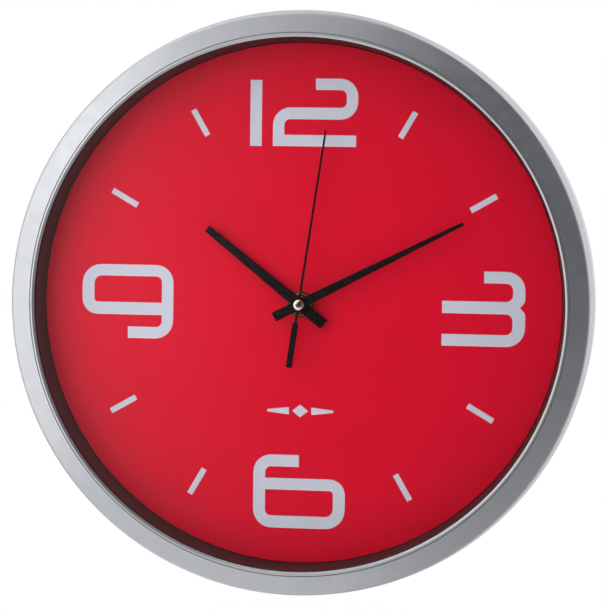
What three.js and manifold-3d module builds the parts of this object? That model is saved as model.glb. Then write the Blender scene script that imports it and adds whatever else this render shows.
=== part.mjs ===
// Round quartz wall clock, 30 cm across: a bezel and a black case around a glass, a dial, three
// hands and a battery-driven movement with its whole gear train.
// Millimetres, +Z up, the clock faces -Y. The plane y = 0 is the wall that the clock hangs on.
// The pieces are drawn round the axis of the hands, x = 0 and z = 0, and the whole clock is moved at
// the end so that its origin is at the hook. A turn about +Y is clockwise as the clock is read.
import * as THREE from 'three';
import { mergeVertices } from 'three/addons/utils/BufferGeometryUtils.js';
import Module from 'manifold-3d';

const wasm = await Module();
wasm.setup();

// ---------------------------------------------------------------- fits
const SEAT = 0.05; // between two pieces that rest on each other
const PRESS = 0.1; // between a pressed-on piece and its shaft, on the radius
const LOOSE = 0.3; // round a piece that drops into a pocket
const RUN = 0.25; // between a shaft and the bore it turns in, on the radius

// ---------------------------------------------------------------- case
const CLOCK_DIAMETER = 300;
const BEZEL_WALL = 2.6;
const SIDE_FLARE = 1.8; // how much narrower the bezel's front edge is than its rear rim
const FACE_WIDTH = 10; // the sloping ring between the rounded edge and the groove
const FACE_DROP = 2.5;
const GROOVE_WIDTH = 0.4;
const GROOVE_DEPTH = 0.5;
const LIP_WIDTH = 1.9;
const LIP_HEIGHT = 19; // from the dial's face to the crest of the lip
const LIP_OVER_GLASS = 2;
const GLASS_THICKNESS = 2;
const GLASS_SEAT = 3; // how far the glass reaches under the lip
const INNER_WALL_DRAFT = 1.7;
const INNER_WALL_TOP = 2.6; // wall thickness at the glass
const FLOOR_THICKNESS = 2;
const DIAL_THICKNESS = 0.6;
const RING_SEGMENTS = 60;

const RIB_COUNT = 8;
const RIB_HEIGHT = 6;
const RIB_THICKNESS = 1.6;
const RIB_START = 48; // from the axis
const COLLAR_WALL = 1.6; // the square frame that keeps the movement from turning
const COLLAR_HEIGHT = 5;

// ---------------------------------------------------------------- screws
const SCREW_COUNT = 6;
const SCREW_SHANK = 1.45; // radii
const SCREW_HEAD = 2.8;
const SCREW_HEAD_HEIGHT = 1.8;
const SCREW_LENGTH = 10;
const POST_RADIUS = 3.2;

// ---------------------------------------------------------------- hanger
const HANGER_WIDTH = 46;
const HANGER_HEIGHT = 27;
const HANGER_THICKNESS = 1.2;
const HANGER_CORNER = 4;
const HANGER_INSET = 27; // from the inner wall down to the middle of the plate
const HANGER_SETBACK = 3; // from the wall to the plate
const KEYHOLE_RADIUS = 4.8;
const KEYHOLE_SLOT = 4.6; // width
const KEYHOLE_LENGTH = 11; // from the middle of the round hole to that of the slot's end
const HANGER_SCREW_SPACING = 32;
const HANGER_POST_RADIUS = 4.2;

// ---------------------------------------------------------------- battery (size AA)
const BATTERY_DIAMETER = 14.2;
const BATTERY_CAN_LENGTH = 49.4;
const TERMINAL_RADIUS = 2.75;
const TERMINAL_LENGTH = 1;
const BAY_WALL = 1;

// ---------------------------------------------------------------- movement
const MOVEMENT_SIZE = 56;
const MOVEMENT_WALL = 1.2;
const LID_THICKNESS = 1.2;
const BRIDGE_THICKNESS = 0.8;
const BACK_CLEARANCE = 1.6; // from the movement's lid to the wall
const RUBBER_THICKNESS = 0.8;
const MOVEMENT_DEPTH = MOVEMENT_WALL + BATTERY_DIAMETER + 2 * LOOSE;

const BUSHING_DIAMETER = 8;
const BUSHING_REACH = 3; // above the dial
const WASHER_DIAMETER = 13.4;
const WASHER_THICKNESS = 0.5;
const NUT_ACROSS_FLATS = 11;
const NUT_THICKNESS = 1.8;

const HOUR_TUBE = 2.5; // outer radii of the three nested hand shafts
const MINUTE_TUBE = 1.75;
const SECOND_PIN = 0.55;
const PIVOT = 0.5;

// ---------------------------------------------------------------- hands
const HAND_THICKNESS = 0.5;
const HOUR_HAND = { reach: 61.7, tail: 16.2, hub: 5.6, tip: 3.7, tailWidth: 5.8, boss: 3.8 };
const MINUTE_HAND = { reach: 93.7, tail: 14.6, hub: 5, tip: 1.9, tailWidth: 5.1, boss: 3 };
const SECOND_HAND = { reach: 90, tail: 32.5, neckEnd: 9, hub: 1.3, tip: 1, weight: 3.2, boss: 2.4 };
const HANDS_AT = { hour: 308.3, minute: 62.8, second: 8.2 }; // degrees clockwise from twelve
const HOUR_LEVEL = 3.5; // underside of each hand above the dial
const MINUTE_LEVEL = 5.5;
const SECOND_LEVEL = 7.6;
const CAP_RADIUS = 2.85;
const CAP_HEIGHT = 1.4;

// ---------------------------------------------------------------- gear train
// Each pair: teeth of the driving wheel and of the driven one, their centre distance, and the
// direction of the second axis seen from the first, clockwise from twelve.
const CENTRE_TO_THIRD = { a: 64, b: 8, distance: 11.5, towards: 78 };
const THIRD_TO_SECOND = { a: 60, b: 8, distance: 11.5, towards: 258 };
const SECOND_TO_INTERMEDIATE = { a: 50, b: 10, distance: 11.4, towards: 315 };
const INTERMEDIATE_TO_ROTOR = { a: 48, b: 8, distance: 8.4, towards: 270 };
const CANNON_TO_MINUTE_WORK = { a: 12, b: 36, distance: 9, towards: 10 };
const MINUTE_WORK_TO_HOUR = { a: 10, b: 40, distance: 9, towards: 190 };
const SETTING_TEETH = 18;
const SETTING_TOWARDS = 50; // from the minute-work wheel to the setting knob

// Depths behind the movement's front face: [front, back] of each wheel.
const HOUR_WHEEL = [1.6, 2.6];
const MINUTE_WORK_PINION = [1.5, 3.2];
const MINUTE_WORK_WHEEL = [3.1, 4.1];
const CANNON = [3, 4.2];
const CENTRE_WHEEL = [4.7, 5.5];
const THIRD_PINION = [4.5, 6.4];
const THIRD_WHEEL = [6.2, 7];
const SECOND_PINION = [6.1, 7.8];
const SECOND_WHEEL = [7.6, 8.4];
const INTERMEDIATE_PINION = [7.5, 9.2];
const INTERMEDIATE_WHEEL = [9, 9.7];
const ROTOR_PINION = [8.9, 10.4];
const ROTOR_MAGNET = [10.4, 12.8];
const STATOR = [11, 12];
const CIRCUIT_BOARD = [12.2, 13];
const BRIDGE_BACK = MOVEMENT_DEPTH - LID_THICKNESS - 0.8;

const MAGNET_RADIUS = 2.9;
const COIL_RADIUS = 3.9;
const COIL_LENGTH = 18;
const COIL_CORE = { width: 2.4, thickness: 0.9, length: 24.6 };
const STATOR_ARM = 3.1; // width of the two arms that reach up to the coil's core
const COIL_AT = { x: -14, z: 20.5, depth: 10.5 };
const KNOB_RADIUS = 6.2;
const KNOB_HEIGHT = 2.2;
const KNOB_ARBOR = 1.4;
const WELL_WALL = 0.8;

// ---------------------------------------------------------------- places worked out from the sizes
const MOVEMENT_FRONT = -BACK_CLEARANCE - MOVEMENT_DEPTH;
const FLOOR_BACK = MOVEMENT_FRONT - RUBBER_THICKNESS;
const FLOOR_FRONT = FLOOR_BACK - FLOOR_THICKNESS;
const DIAL_FACE = FLOOR_FRONT - DIAL_THICKNESS;

const RIM_RADIUS = CLOCK_DIAMETER / 2;
const SKIRT_INSIDE = RIM_RADIUS - BEZEL_WALL;
const FACE_OUTSIDE = RIM_RADIUS - SIDE_FLARE;
const FACE_INSIDE = FACE_OUTSIDE - FACE_WIDTH;
const LIP_OUTSIDE = FACE_INSIDE - GROOVE_WIDTH;
const LIP_INSIDE = LIP_OUTSIDE - LIP_WIDTH;
const GLASS_RADIUS = LIP_INSIDE + GLASS_SEAT;
const GLASS_TOP = LIP_HEIGHT - LIP_OVER_GLASS;
const GLASS_BOTTOM = GLASS_TOP - GLASS_THICKNESS;
const WALL_TOP = LIP_INSIDE - 0.2;
const WALL_BASE = WALL_TOP - INNER_WALL_DRAFT;
const WALL_OUTSIDE = WALL_TOP + INNER_WALL_TOP;
const POST_CIRCLE = (WALL_OUTSIDE + SKIRT_INSIDE) / 2;
const BUSHING_HOLE = BUSHING_DIAMETER / 2 + LOOSE;
const HANGER_Z = WALL_BASE - HANGER_INSET;
const HANGER_BACK = -HANGER_SETBACK;

const HALF = MOVEMENT_SIZE / 2;
const INSIDE = HALF - MOVEMENT_WALL;
const BAY_TOP = -HALF + BAY_WALL + BATTERY_DIAMETER + 2 * LOOSE; // height of the bay's inner face
const GEAR_FLOOR = BAY_TOP + BAY_WALL;
const BATTERY_Z = BAY_TOP - LOOSE - BATTERY_DIAMETER / 2;

const above = (height) => DIAL_FACE - height;
const behind = (depth) => MOVEMENT_FRONT + depth;
const clockwise = (degrees, distance) => {
  const angle = THREE.MathUtils.degToRad(degrees);
  return new THREE.Vector2(distance * Math.sin(angle), distance * Math.cos(angle));
};

const THIRD_AXIS = clockwise(CENTRE_TO_THIRD.towards, CENTRE_TO_THIRD.distance);
const INTERMEDIATE_AXIS = clockwise(SECOND_TO_INTERMEDIATE.towards, SECOND_TO_INTERMEDIATE.distance);
const ROTOR_AXIS = clockwise(INTERMEDIATE_TO_ROTOR.towards, INTERMEDIATE_TO_ROTOR.distance)
  .add(INTERMEDIATE_AXIS);
const MINUTE_WORK_AXIS = clockwise(CANNON_TO_MINUTE_WORK.towards, CANNON_TO_MINUTE_WORK.distance);
const MINUTE_WORK_MODULE = (2 * CANNON_TO_MINUTE_WORK.distance)
  / (CANNON_TO_MINUTE_WORK.a + CANNON_TO_MINUTE_WORK.b);
const SETTING_DISTANCE = MINUTE_WORK_MODULE * (CANNON_TO_MINUTE_WORK.b + SETTING_TEETH) / 2;
const SETTING_AXIS = clockwise(SETTING_TOWARDS, SETTING_DISTANCE).add(MINUTE_WORK_AXIS);
const CENTRE_AXIS = new THREE.Vector2(0, 0);
const STATOR_LEFT = COIL_AT.x - COIL_LENGTH / 2 - LOOSE - STATOR_ARM;

const POSTS = [
  new THREE.Vector2(-INSIDE + 4.8, GEAR_FLOOR + 4.2),
  new THREE.Vector2(INSIDE - 4.3, GEAR_FLOOR + 3.2),
  new THREE.Vector2(15.5, 14.2),
];

// ---------------------------------------------------------------- materials
const finish = (color, roughness, metalness = 0) =>
  new THREE.MeshStandardMaterial({ color, roughness, metalness });
const silverPaint = finish(0xbfc1c4, 0.34, 0.6);
const blackPlastic = finish(0x1b1a1b, 0.5);
const greyPlastic = finish(0x2a2a2c, 0.55);
const clearGlass = finish(0xe8f0f0, 0.04);
const redPrint = finish(0xc81830, 0.45);
const blackEnamel = finish(0x17131a, 0.5);
const brass = finish(0xb5935a, 0.3, 1);
const nickel = finish(0xcfcac2, 0.2, 1);
const steel = finish(0xa9abae, 0.35, 1);
const zincSteel = finish(0xb9bcc0, 0.4, 1);
const rubber = finish(0x1d1d1d, 0.9);
const whiteAcetal = finish(0xe9e6dc, 0.5);
const copper = finish(0xb4612e, 0.35, 1);
const board = finish(0x1f6b3c, 0.5);
const ferrite = finish(0x3a3836, 0.6);
const batteryLabel = finish(0x2f4f8f, 0.4);

// ---------------------------------------------------------------- shape helpers
function solidOf(geometry) {
  const bare = geometry.index ? geometry.toNonIndexed() : geometry.clone();
  bare.deleteAttribute('normal');
  bare.deleteAttribute('uv');
  const merged = mergeVertices(bare, 1e-4);
  const index = merged.index.array;
  const keep = [];
  for (let i = 0; i < index.length; i += 3) {
    const [a, b, c] = index.slice(i, i + 3);
    if (a !== b && b !== c && c !== a) keep.push(a, b, c);
  }
  const mesh = new wasm.Mesh({
    numProp: 3,
    vertProperties: new Float32Array(merged.attributes.position.array),
    triVerts: new Uint32Array(keep),
  });
  return new wasm.Manifold(mesh);
}

function geometryOf(solid) {
  const mesh = solid.getMesh();
  const geometry = new THREE.BufferGeometry();
  geometry.setAttribute('position', new THREE.BufferAttribute(mesh.vertProperties, 3));
  geometry.setIndex(new THREE.BufferAttribute(mesh.triVerts, 1));
  geometry.computeVertexNormals();
  return geometry;
}

const join = (...parts) => geometryOf(parts.map(solidOf).reduce((sum, part) => sum.add(part)));
const cut = (whole, ...tools) =>
  geometryOf(tools.map(solidOf).reduce((rest, tool) => rest.subtract(tool), solidOf(whole)));

// A profile of [radius, y] pairs, listed anticlockwise in the plane of radius and y, turned
// about the Y axis.
function turned(profile, segments, closed = false) {
  const points = profile.map(([radius, y]) => new THREE.Vector2(radius, y));
  if (closed) points.push(points[0].clone());
  return new THREE.LatheGeometry(points, segments);
}

function tube(inner, outer, front, back, segments = 20) {
  const profile = [[inner, front], [outer, front], [outer, back], [inner, back]];
  return turned(profile, segments, true);
}

function rod(radius, front, back, segments = 16) {
  return turned([[0, front], [radius, front], [radius, back], [0, back]], segments);
}

// A flat outline in x and z, with its front and back faces at the given y.
function plate(shape, front, back, curveSegments = 6) {
  const options = { depth: back - front, bevelEnabled: false, curveSegments };
  return new THREE.ExtrudeGeometry(shape, options).rotateX(Math.PI / 2).translate(0, back, 0);
}

function outline(points) {
  return new THREE.Shape(points.map(([x, z]) => new THREE.Vector2(x, z)));
}

// A round outline or hole, anticlockwise, with its corners on the circle.
function circlePath(x, z, radius, corners = 16) {
  const points = Array.from({ length: corners }, (_, i) =>
    clockwise((-i * 360) / corners, radius).add(new THREE.Vector2(x, z)));
  return new THREE.Path(points);
}

function block(x0, x1, y0, y1, z0, z1) {
  return new THREE.BoxGeometry(x1 - x0, y1 - y0, z1 - z0)
    .translate((x0 + x1) / 2, (y0 + y1) / 2, (z0 + z1) / 2);
}

const at = (geometry, axis) => geometry.translate(axis.x, 0, axis.y);

// A spur wheel with straight-sided teeth. The tooth is narrower than its gap, and the root lies
// deeper than the tip stands out, so that a meshing pair runs with play.
function gearShape(teeth, pitchRadius, bore = 0) {
  const module = (2 * pitchRadius) / teeth;
  const step = 360 / teeth;
  const root = pitchRadius - 1.1 * module;
  const tip = pitchRadius + 0.75 * module;
  const corners = [[-0.28, root], [-0.1, tip], [0.1, tip], [0.28, root]];
  const points = [];
  for (let tooth = 0; tooth < teeth; tooth += 1) {
    for (const [share, radius] of corners) points.push(clockwise((tooth + share) * step, radius));
  }
  const shape = new THREE.Shape(points.reverse());
  if (bore > 0) shape.holes.push(circlePath(0, 0, bore));
  return shape;
}

const gear = (teeth, pitchRadius, [front, back], bore = 0) =>
  plate(gearShape(teeth, pitchRadius, bore), behind(front), behind(back));

const wheelRadius = (pair) => (pair.distance * pair.a) / (pair.a + pair.b);
const pinionRadius = (pair) => (pair.distance * pair.b) / (pair.a + pair.b);

// The turn, in degrees, that puts a gap of the driven wheel over a tooth of the driving one.
function meshPhase(pair, drivingPhase = 0) {
  const slip = ((drivingPhase - pair.towards) * pair.a) / 360;
  return pair.towards + 180 - (slip * 360) / pair.b + 180 / pair.b;
}

// ---------------------------------------------------------------- case pieces
function bezel() {
  const faceTop = LIP_HEIGHT - 0.5;
  const faceEdge = faceTop - FACE_DROP;
  const shelf = above(GLASS_TOP + SEAT);
  const pocket = GLASS_RADIUS + LOOSE;
  const pocketEnd = above(GLASS_BOTTOM - 0.6);
  const ring = turned([
    [SKIRT_INSIDE, 0],
    [SKIRT_INSIDE, above(faceEdge - BEZEL_WALL - 0.8)],
    [SKIRT_INSIDE - 1, above(faceEdge - BEZEL_WALL + 0.4)],
    [pocket + BEZEL_WALL, pocketEnd],
    [pocket, pocketEnd],
    [pocket, shelf],
    [LIP_INSIDE, shelf],
    [LIP_INSIDE, above(LIP_HEIGHT - 0.8)],
    [LIP_INSIDE + 0.4, above(LIP_HEIGHT - 0.15)],
    [LIP_OUTSIDE - 0.6, above(LIP_HEIGHT)],
    [LIP_OUTSIDE, above(LIP_HEIGHT - 0.4)],
    [LIP_OUTSIDE, above(faceTop - GROOVE_DEPTH)],
    [FACE_INSIDE, above(faceTop - GROOVE_DEPTH)],
    [FACE_INSIDE, above(faceTop)],
    [FACE_OUTSIDE - 0.6, above(faceEdge)],
    [FACE_OUTSIDE, above(faceEdge - 0.7)],
    [RIM_RADIUS, above(faceEdge - 12)],
    [RIM_RADIUS, 0],
  ], RING_SEGMENTS, true);
  const posts = screwAngles().map((angle) => {
    const post = rod(POST_RADIUS, above(GLASS_BOTTOM), FLOOR_FRONT - SEAT, 10);
    return at(post, clockwise(angle, POST_CIRCLE));
  });
  const bores = screwAngles().map((angle) => {
    const depth = FLOOR_BACK - SCREW_LENGTH - LOOSE;
    return at(rod(SCREW_SHANK + LOOSE, depth, 0, 12), clockwise(angle, POST_CIRCLE));
  });
  return cut(join(ring, ...posts), ...bores);
}

function screwAngles() {
  return Array.from({ length: SCREW_COUNT }, (_, i) => ((i + 0.5) * 360) / SCREW_COUNT);
}

function screw(headFace) {
  return turned([
    [0, headFace - SCREW_LENGTH],
    [SCREW_SHANK, headFace - SCREW_LENGTH],
    [SCREW_SHANK, headFace],
    [SCREW_HEAD, headFace],
    [SCREW_HEAD, headFace + SCREW_HEAD_HEIGHT * 0.5],
    [SCREW_HEAD * 0.7, headFace + SCREW_HEAD_HEIGHT],
    [0, headFace + SCREW_HEAD_HEIGHT],
  ], 8);
}

function caseShell() {
  const flange = SKIRT_INSIDE - LOOSE;
  const dish = turned([
    [BUSHING_HOLE, FLOOR_FRONT],
    [WALL_BASE, FLOOR_FRONT],
    [WALL_TOP, above(GLASS_BOTTOM - SEAT)],
    [WALL_OUTSIDE, above(GLASS_BOTTOM - SEAT)],
    [WALL_OUTSIDE, FLOOR_FRONT],
    [flange, FLOOR_FRONT],
    [flange, FLOOR_BACK],
    [BUSHING_HOLE, FLOOR_BACK],
  ], RING_SEGMENTS, true);
  const ribs = Array.from({ length: RIB_COUNT }, (_, i) => {
    const middle = (RIB_START + WALL_BASE) / 2;
    const half = (WALL_BASE - RIB_START) / 2;
    const rib = block(
      -RIB_THICKNESS / 2,
      RIB_THICKNESS / 2,
      FLOOR_BACK - FLOOR_THICKNESS / 2,
      FLOOR_BACK + RIB_HEIGHT,
      middle - half,
      middle + half,
    );
    return rib.rotateY(((i + 0.5) * 2 * Math.PI) / RIB_COUNT);
  });
  const outer = HALF + LOOSE + COLLAR_WALL;
  const collar = plate(squareFrame(HALF + LOOSE, outer), FLOOR_BACK - 1, FLOOR_BACK + COLLAR_HEIGHT);
  const hangerPosts = hangerScrewPlaces().map((place) =>
    at(rod(HANGER_POST_RADIUS, FLOOR_BACK - 1, HANGER_BACK - HANGER_THICKNESS - SEAT, 12), place));
  const hangerBores = hangerScrewPlaces().map((place) => {
    const depth = HANGER_BACK - SCREW_LENGTH - LOOSE;
    return at(rod(SCREW_SHANK + LOOSE, depth, 0, 12), place);
  });
  const flangeHoles = screwAngles().map((angle) =>
    at(rod(SCREW_SHANK + LOOSE, FLOOR_FRONT - 1, 0, 12), clockwise(angle, POST_CIRCLE)));
  return cut(join(dish, ...ribs, collar, ...hangerPosts), ...hangerBores, ...flangeHoles);
}

function squareFrame(inner, outer) {
  const shape = outline([[-outer, -outer], [outer, -outer], [outer, outer], [-outer, outer]]);
  shape.holes.push(outline([[-inner, -inner], [-inner, inner], [inner, inner], [inner, -inner]]));
  return shape;
}

function hangerScrewPlaces() {
  return [-1, 1].map((side) => new THREE.Vector2((side * HANGER_SCREW_SPACING) / 2, HANGER_Z));
}

function hangerPlate() {
  const w = HANGER_WIDTH / 2;
  const h = HANGER_HEIGHT / 2;
  const c = HANGER_CORNER;
  const shape = new THREE.Shape();
  shape.moveTo(-w + c, -h);
  shape.lineTo(w - c, -h);
  shape.absarc(w - c, -h + c, c, -Math.PI / 2, 0, false);
  shape.absarc(w - c, h - c, c, 0, Math.PI / 2, false);
  shape.absarc(-w + c, h - c, c, Math.PI / 2, Math.PI, false);
  shape.absarc(-w + c, -h + c, c, Math.PI, 1.5 * Math.PI, false);
  const slot = KEYHOLE_SLOT / 2;
  const roundZ = -KEYHOLE_LENGTH / 2;
  const neck = Math.asin(slot / KEYHOLE_RADIUS);
  const keyhole = new THREE.Path();
  keyhole.absarc(0, roundZ, KEYHOLE_RADIUS, Math.PI / 2 + neck, 2.5 * Math.PI - neck, false);
  keyhole.absarc(0, roundZ + KEYHOLE_LENGTH, slot, 0, Math.PI, false);
  keyhole.closePath();
  shape.holes.push(keyhole);
  for (const side of [-1, 1]) {
    shape.holes.push(circlePath((side * HANGER_SCREW_SPACING) / 2, 0, SCREW_SHANK + LOOSE));
  }
  return plate(shape, HANGER_BACK - HANGER_THICKNESS, HANGER_BACK).translate(0, 0, HANGER_Z);
}

function hexNut() {
  const corner = NUT_ACROSS_FLATS / Math.sqrt(3);
  const corners = Array.from({ length: 6 }, (_, i) => clockwise(12 - i * 60, corner));
  const shape = new THREE.Shape(corners);
  shape.holes.push(circlePath(0, 0, BUSHING_DIAMETER / 2 + PRESS));
  const seat = WASHER_THICKNESS + SEAT;
  return plate(shape, above(seat + NUT_THICKNESS), above(seat), 10);
}

// ---------------------------------------------------------------- movement pieces
function movementHousing() {
  const back = behind(MOVEMENT_DEPTH);
  const body = block(-HALF, HALF, MOVEMENT_FRONT, back, -HALF, HALF);
  const floor = behind(MOVEMENT_WALL);
  const gearRoom = block(-INSIDE, INSIDE, floor, back + 1, GEAR_FLOOR, INSIDE);
  const lidStep = block(
    -HALF - 1,
    HALF + 1,
    behind(MOVEMENT_DEPTH - LID_THICKNESS),
    back + 1,
    GEAR_FLOOR,
    HALF + 1,
  );
  const bay = block(-INSIDE, INSIDE, floor, back + 1, -HALF + BAY_WALL, BAY_TOP);
  const bushingHole = rod(BUSHING_DIAMETER / 2 + PRESS, MOVEMENT_FRONT - 1, floor + 1, 20);
  const postTop = behind(BRIDGE_BACK - BRIDGE_THICKNESS) - SEAT;
  const posts = POSTS.map((place) => at(rod(1.6, floor - 0.5, postTop, 10), place));
  const stud = at(rod(0.8, floor - 0.5, behind(MINUTE_WORK_WHEEL[1] + 0.4), 10), MINUTE_WORK_AXIS);
  const boardLedge = block(
    INSIDE - 2,
    INSIDE + 0.5,
    floor - 0.5,
    behind(CIRCUIT_BOARD[0]) - SEAT,
    0,
    INSIDE - 3,
  );
  const statorLedge = block(
    -INSIDE - 0.5,
    STATOR_LEFT + 1.6,
    floor - 0.5,
    behind(STATOR[0]) - SEAT,
    ROTOR_AXIS.y - 2,
    COIL_AT.z - COIL_RADIUS - 1,
  );
  const pivots = [THIRD_AXIS, INTERMEDIATE_AXIS, ROTOR_AXIS, SETTING_AXIS].map((axis, i) => {
    const radius = (i === 3 ? KNOB_ARBOR : PIVOT) + RUN;
    return at(rod(radius, behind(0.5), floor + 1, 10), axis);
  });
  const hollow = cut(body, gearRoom, lidStep, bay, bushingHole);
  return cut(join(hollow, ...posts, stud, boardLedge, statorLedge), ...pivots);
}

function movementLid() {
  const front = behind(MOVEMENT_DEPTH - LID_THICKNESS) + SEAT;
  const back = behind(MOVEMENT_DEPTH);
  const well = KNOB_RADIUS + LOOSE;
  const cover = block(-HALF, HALF, front, back, GEAR_FLOOR + SEAT, HALF);
  const ring = at(rod(well + WELL_WALL, front - 0.6, front + 0.1, 24), SETTING_AXIS);
  const opening = at(rod(well, front, back + 1, 24), SETTING_AXIS);
  const arborHole = at(rod(KNOB_ARBOR + RUN, front - 1, back, 12), SETTING_AXIS);
  return cut(join(cover, ring), opening, arborHole);
}

function trainBridge() {
  const left = POSTS[0];
  const right = POSTS[1];
  const top = POSTS[2];
  const shape = outline([
    [left.x - 2.5, left.y - 3.2],
    [right.x + 2.5, left.y - 3.2],
    [right.x + 2.5, right.y + 3],
    [top.x + 2, right.y + 6.6],
    [top.x + 2, top.y + 2.2],
    [top.x - 2.2, top.y + 2.2],
    [top.x - 3.2, 11.6],
    [ROTOR_AXIS.x + 8, 11.9],
    [ROTOR_AXIS.x - 4, 11.9],
    [ROTOR_AXIS.x - 4, 3.5],
    [left.x - 2.5, left.y + 3.5],
  ]);
  for (const axis of [THIRD_AXIS, INTERMEDIATE_AXIS, ROTOR_AXIS]) {
    shape.holes.push(circlePath(axis.x, axis.y, PIVOT + RUN));
  }
  shape.holes.push(circlePath(0, 0, SECOND_PIN + RUN));
  return plate(shape, behind(BRIDGE_BACK - BRIDGE_THICKNESS), behind(BRIDGE_BACK), 5);
}

function stator() {
  const { x, z } = COIL_AT;
  const end = COIL_LENGTH / 2 + LOOSE;
  const shoulder = z - COIL_RADIUS - LOOSE;
  const armTop = z + 1.7;
  const shape = outline([
    [STATOR_LEFT, ROTOR_AXIS.y - 5],
    [ROTOR_AXIS.x + 6, ROTOR_AXIS.y - 5],
    [ROTOR_AXIS.x + 6, shoulder - 3.9],
    [x + end + STATOR_ARM, shoulder - 1.1],
    [x + end + STATOR_ARM, armTop],
    [x + end, armTop],
    [x + end, shoulder],
    [x - end, shoulder],
    [x - end, armTop],
    [STATOR_LEFT, armTop],
  ]);
  shape.holes.push(circlePath(ROTOR_AXIS.x, ROTOR_AXIS.y, MAGNET_RADIUS + 0.6));
  return plate(shape, behind(STATOR[0]), behind(STATOR[1]), 10);
}

const alongCoil = (geometry) =>
  geometry.rotateZ(Math.PI / 2).translate(COIL_AT.x, behind(COIL_AT.depth), COIL_AT.z);

function coilBobbin() {
  const half = COIL_LENGTH / 2;
  const flange = half - 0.8;
  return alongCoil(turned([
    [1.6, -half],
    [COIL_RADIUS, -half],
    [COIL_RADIUS, -flange],
    [2, -flange],
    [2, flange],
    [COIL_RADIUS, flange],
    [COIL_RADIUS, half],
    [1.6, half],
  ], 16, true));
}

function coilWinding() {
  const flange = COIL_LENGTH / 2 - 0.8 - SEAT;
  return alongCoil(tube(2 + PRESS, COIL_RADIUS - 0.3, -flange, flange, 16));
}

function coilCore() {
  const { x, z } = COIL_AT;
  const back = behind(STATOR[0]) - SEAT;
  const half = COIL_CORE.length / 2;
  return block(
    x - half,
    x + half,
    back - COIL_CORE.thickness,
    back,
    z - COIL_CORE.width / 2,
    z + COIL_CORE.width / 2,
  );
}

const BOARD = { left: POSTS[2].x + 2.7, right: INSIDE - 0.4, bottom: -3, top: INSIDE - 0.4 };

function circuitBoard() {
  const [front, back] = CIRCUIT_BOARD;
  return block(BOARD.left, BOARD.right, behind(front), behind(back), BOARD.bottom, BOARD.top);
}

function crystalCan() {
  const radius = 0.8;
  const middle = behind(CIRCUIT_BOARD[1]) + SEAT + radius;
  return rod(radius, -3, 3, 10).rotateX(Math.PI / 2).translate(BOARD.left + 2, middle, BOARD.top - 5);
}

function chipCover() {
  const base = behind(CIRCUIT_BOARD[1]) + SEAT;
  const dome = turned([[0, base], [2.2, base], [2, base + 0.5], [1.2, base + 0.9], [0, base + 1]], 12);
  return dome.translate((BOARD.left + BOARD.right) / 2, 0, BOARD.bottom + 8);
}

// Sprung strips at the two ends of the battery bay. Each is a bent strip seen along Z.
function contactPositive() {
  const wall = -INSIDE + SEAT;
  return block(wall, wall + 0.4, behind(4), behind(14), BATTERY_Z - 5, BATTERY_Z + 5);
}

function contactNegative() {
  const wall = INSIDE - SEAT;
  const bow = 1.9;
  const middle = MOVEMENT_WALL + LOOSE + BATTERY_DIAMETER / 2;
  const strip = new THREE.Shape([
    new THREE.Vector2(wall, behind(2)),
    new THREE.Vector2(wall, behind(14)),
    new THREE.Vector2(wall - bow, behind(middle + 2)),
    new THREE.Vector2(wall - bow, behind(middle - 2)),
    new THREE.Vector2(wall - 0.9, behind(3.4)),
    new THREE.Vector2(wall - 0.5, behind(3.6)),
    new THREE.Vector2(wall - bow + 0.4, behind(middle - 1.9)),
    new THREE.Vector2(wall - bow + 0.4, behind(middle + 1.8)),
    new THREE.Vector2(wall - 0.35, behind(12.6)),
    new THREE.Vector2(wall - 0.35, behind(2)),
  ]);
  const options = { depth: 9, bevelEnabled: false };
  return new THREE.ExtrudeGeometry(strip, options).translate(0, 0, BATTERY_Z - 4.5);
}

// ---------------------------------------------------------------- battery
const BATTERY_END = -INSIDE + SEAT + 0.4 + SEAT + 0.2; // tip of the positive terminal

function batteryCell() {
  const r = BATTERY_DIAMETER / 2;
  const half = BATTERY_CAN_LENGTH / 2;
  return turned([
    [0, -half],
    [r - 0.5, -half],
    [r, -half + 0.5],
    [r, half - 0.5],
    [r - 0.5, half],
    [0, half],
  ], 24).rotateZ(Math.PI / 2);
}

function batteryTerminal() {
  const half = BATTERY_CAN_LENGTH / 2 + SEAT;
  return rod(TERMINAL_RADIUS, half, half + TERMINAL_LENGTH - SEAT, 16).rotateZ(Math.PI / 2);
}

// ---------------------------------------------------------------- wheels
function minuteArbor() {
  const front = above(MINUTE_LEVEL + HAND_THICKNESS + 0.5);
  const sleeve = rod(MINUTE_TUBE, front, behind(CENTRE_WHEEL[1] + 0.3), 16);
  const cannon = gear(CANNON_TO_MINUTE_WORK.a, wheelRadius(CANNON_TO_MINUTE_WORK), CANNON);
  const bore = rod(SECOND_PIN + RUN, front - 1, behind(CENTRE_WHEEL[1] + 1), 12);
  return cut(join(sleeve, cannon), bore);
}

function hourWheel() {
  const radius = pinionRadius(MINUTE_WORK_TO_HOUR);
  const front = above(HOUR_LEVEL + HAND_THICKNESS + 0.4);
  const bore = MINUTE_TUBE + RUN;
  const wheel = gear(MINUTE_WORK_TO_HOUR.b, radius, HOUR_WHEEL, HOUR_TUBE - 0.2);
  return join(wheel, tube(bore, HOUR_TUBE, front, behind(HOUR_WHEEL[1]), 20));
}

function minuteWorkWheel() {
  const wheel = gear(CANNON_TO_MINUTE_WORK.b, pinionRadius(CANNON_TO_MINUTE_WORK), MINUTE_WORK_WHEEL);
  wheel.rotateY(THREE.MathUtils.degToRad(meshPhase(CANNON_TO_MINUTE_WORK)));
  const pinion = gear(MINUTE_WORK_TO_HOUR.a, wheelRadius(MINUTE_WORK_TO_HOUR), MINUTE_WORK_PINION);
  const bore = rod(0.8 + RUN, behind(1), behind(5), 12);
  return cut(join(wheel, pinion), bore);
}

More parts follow.
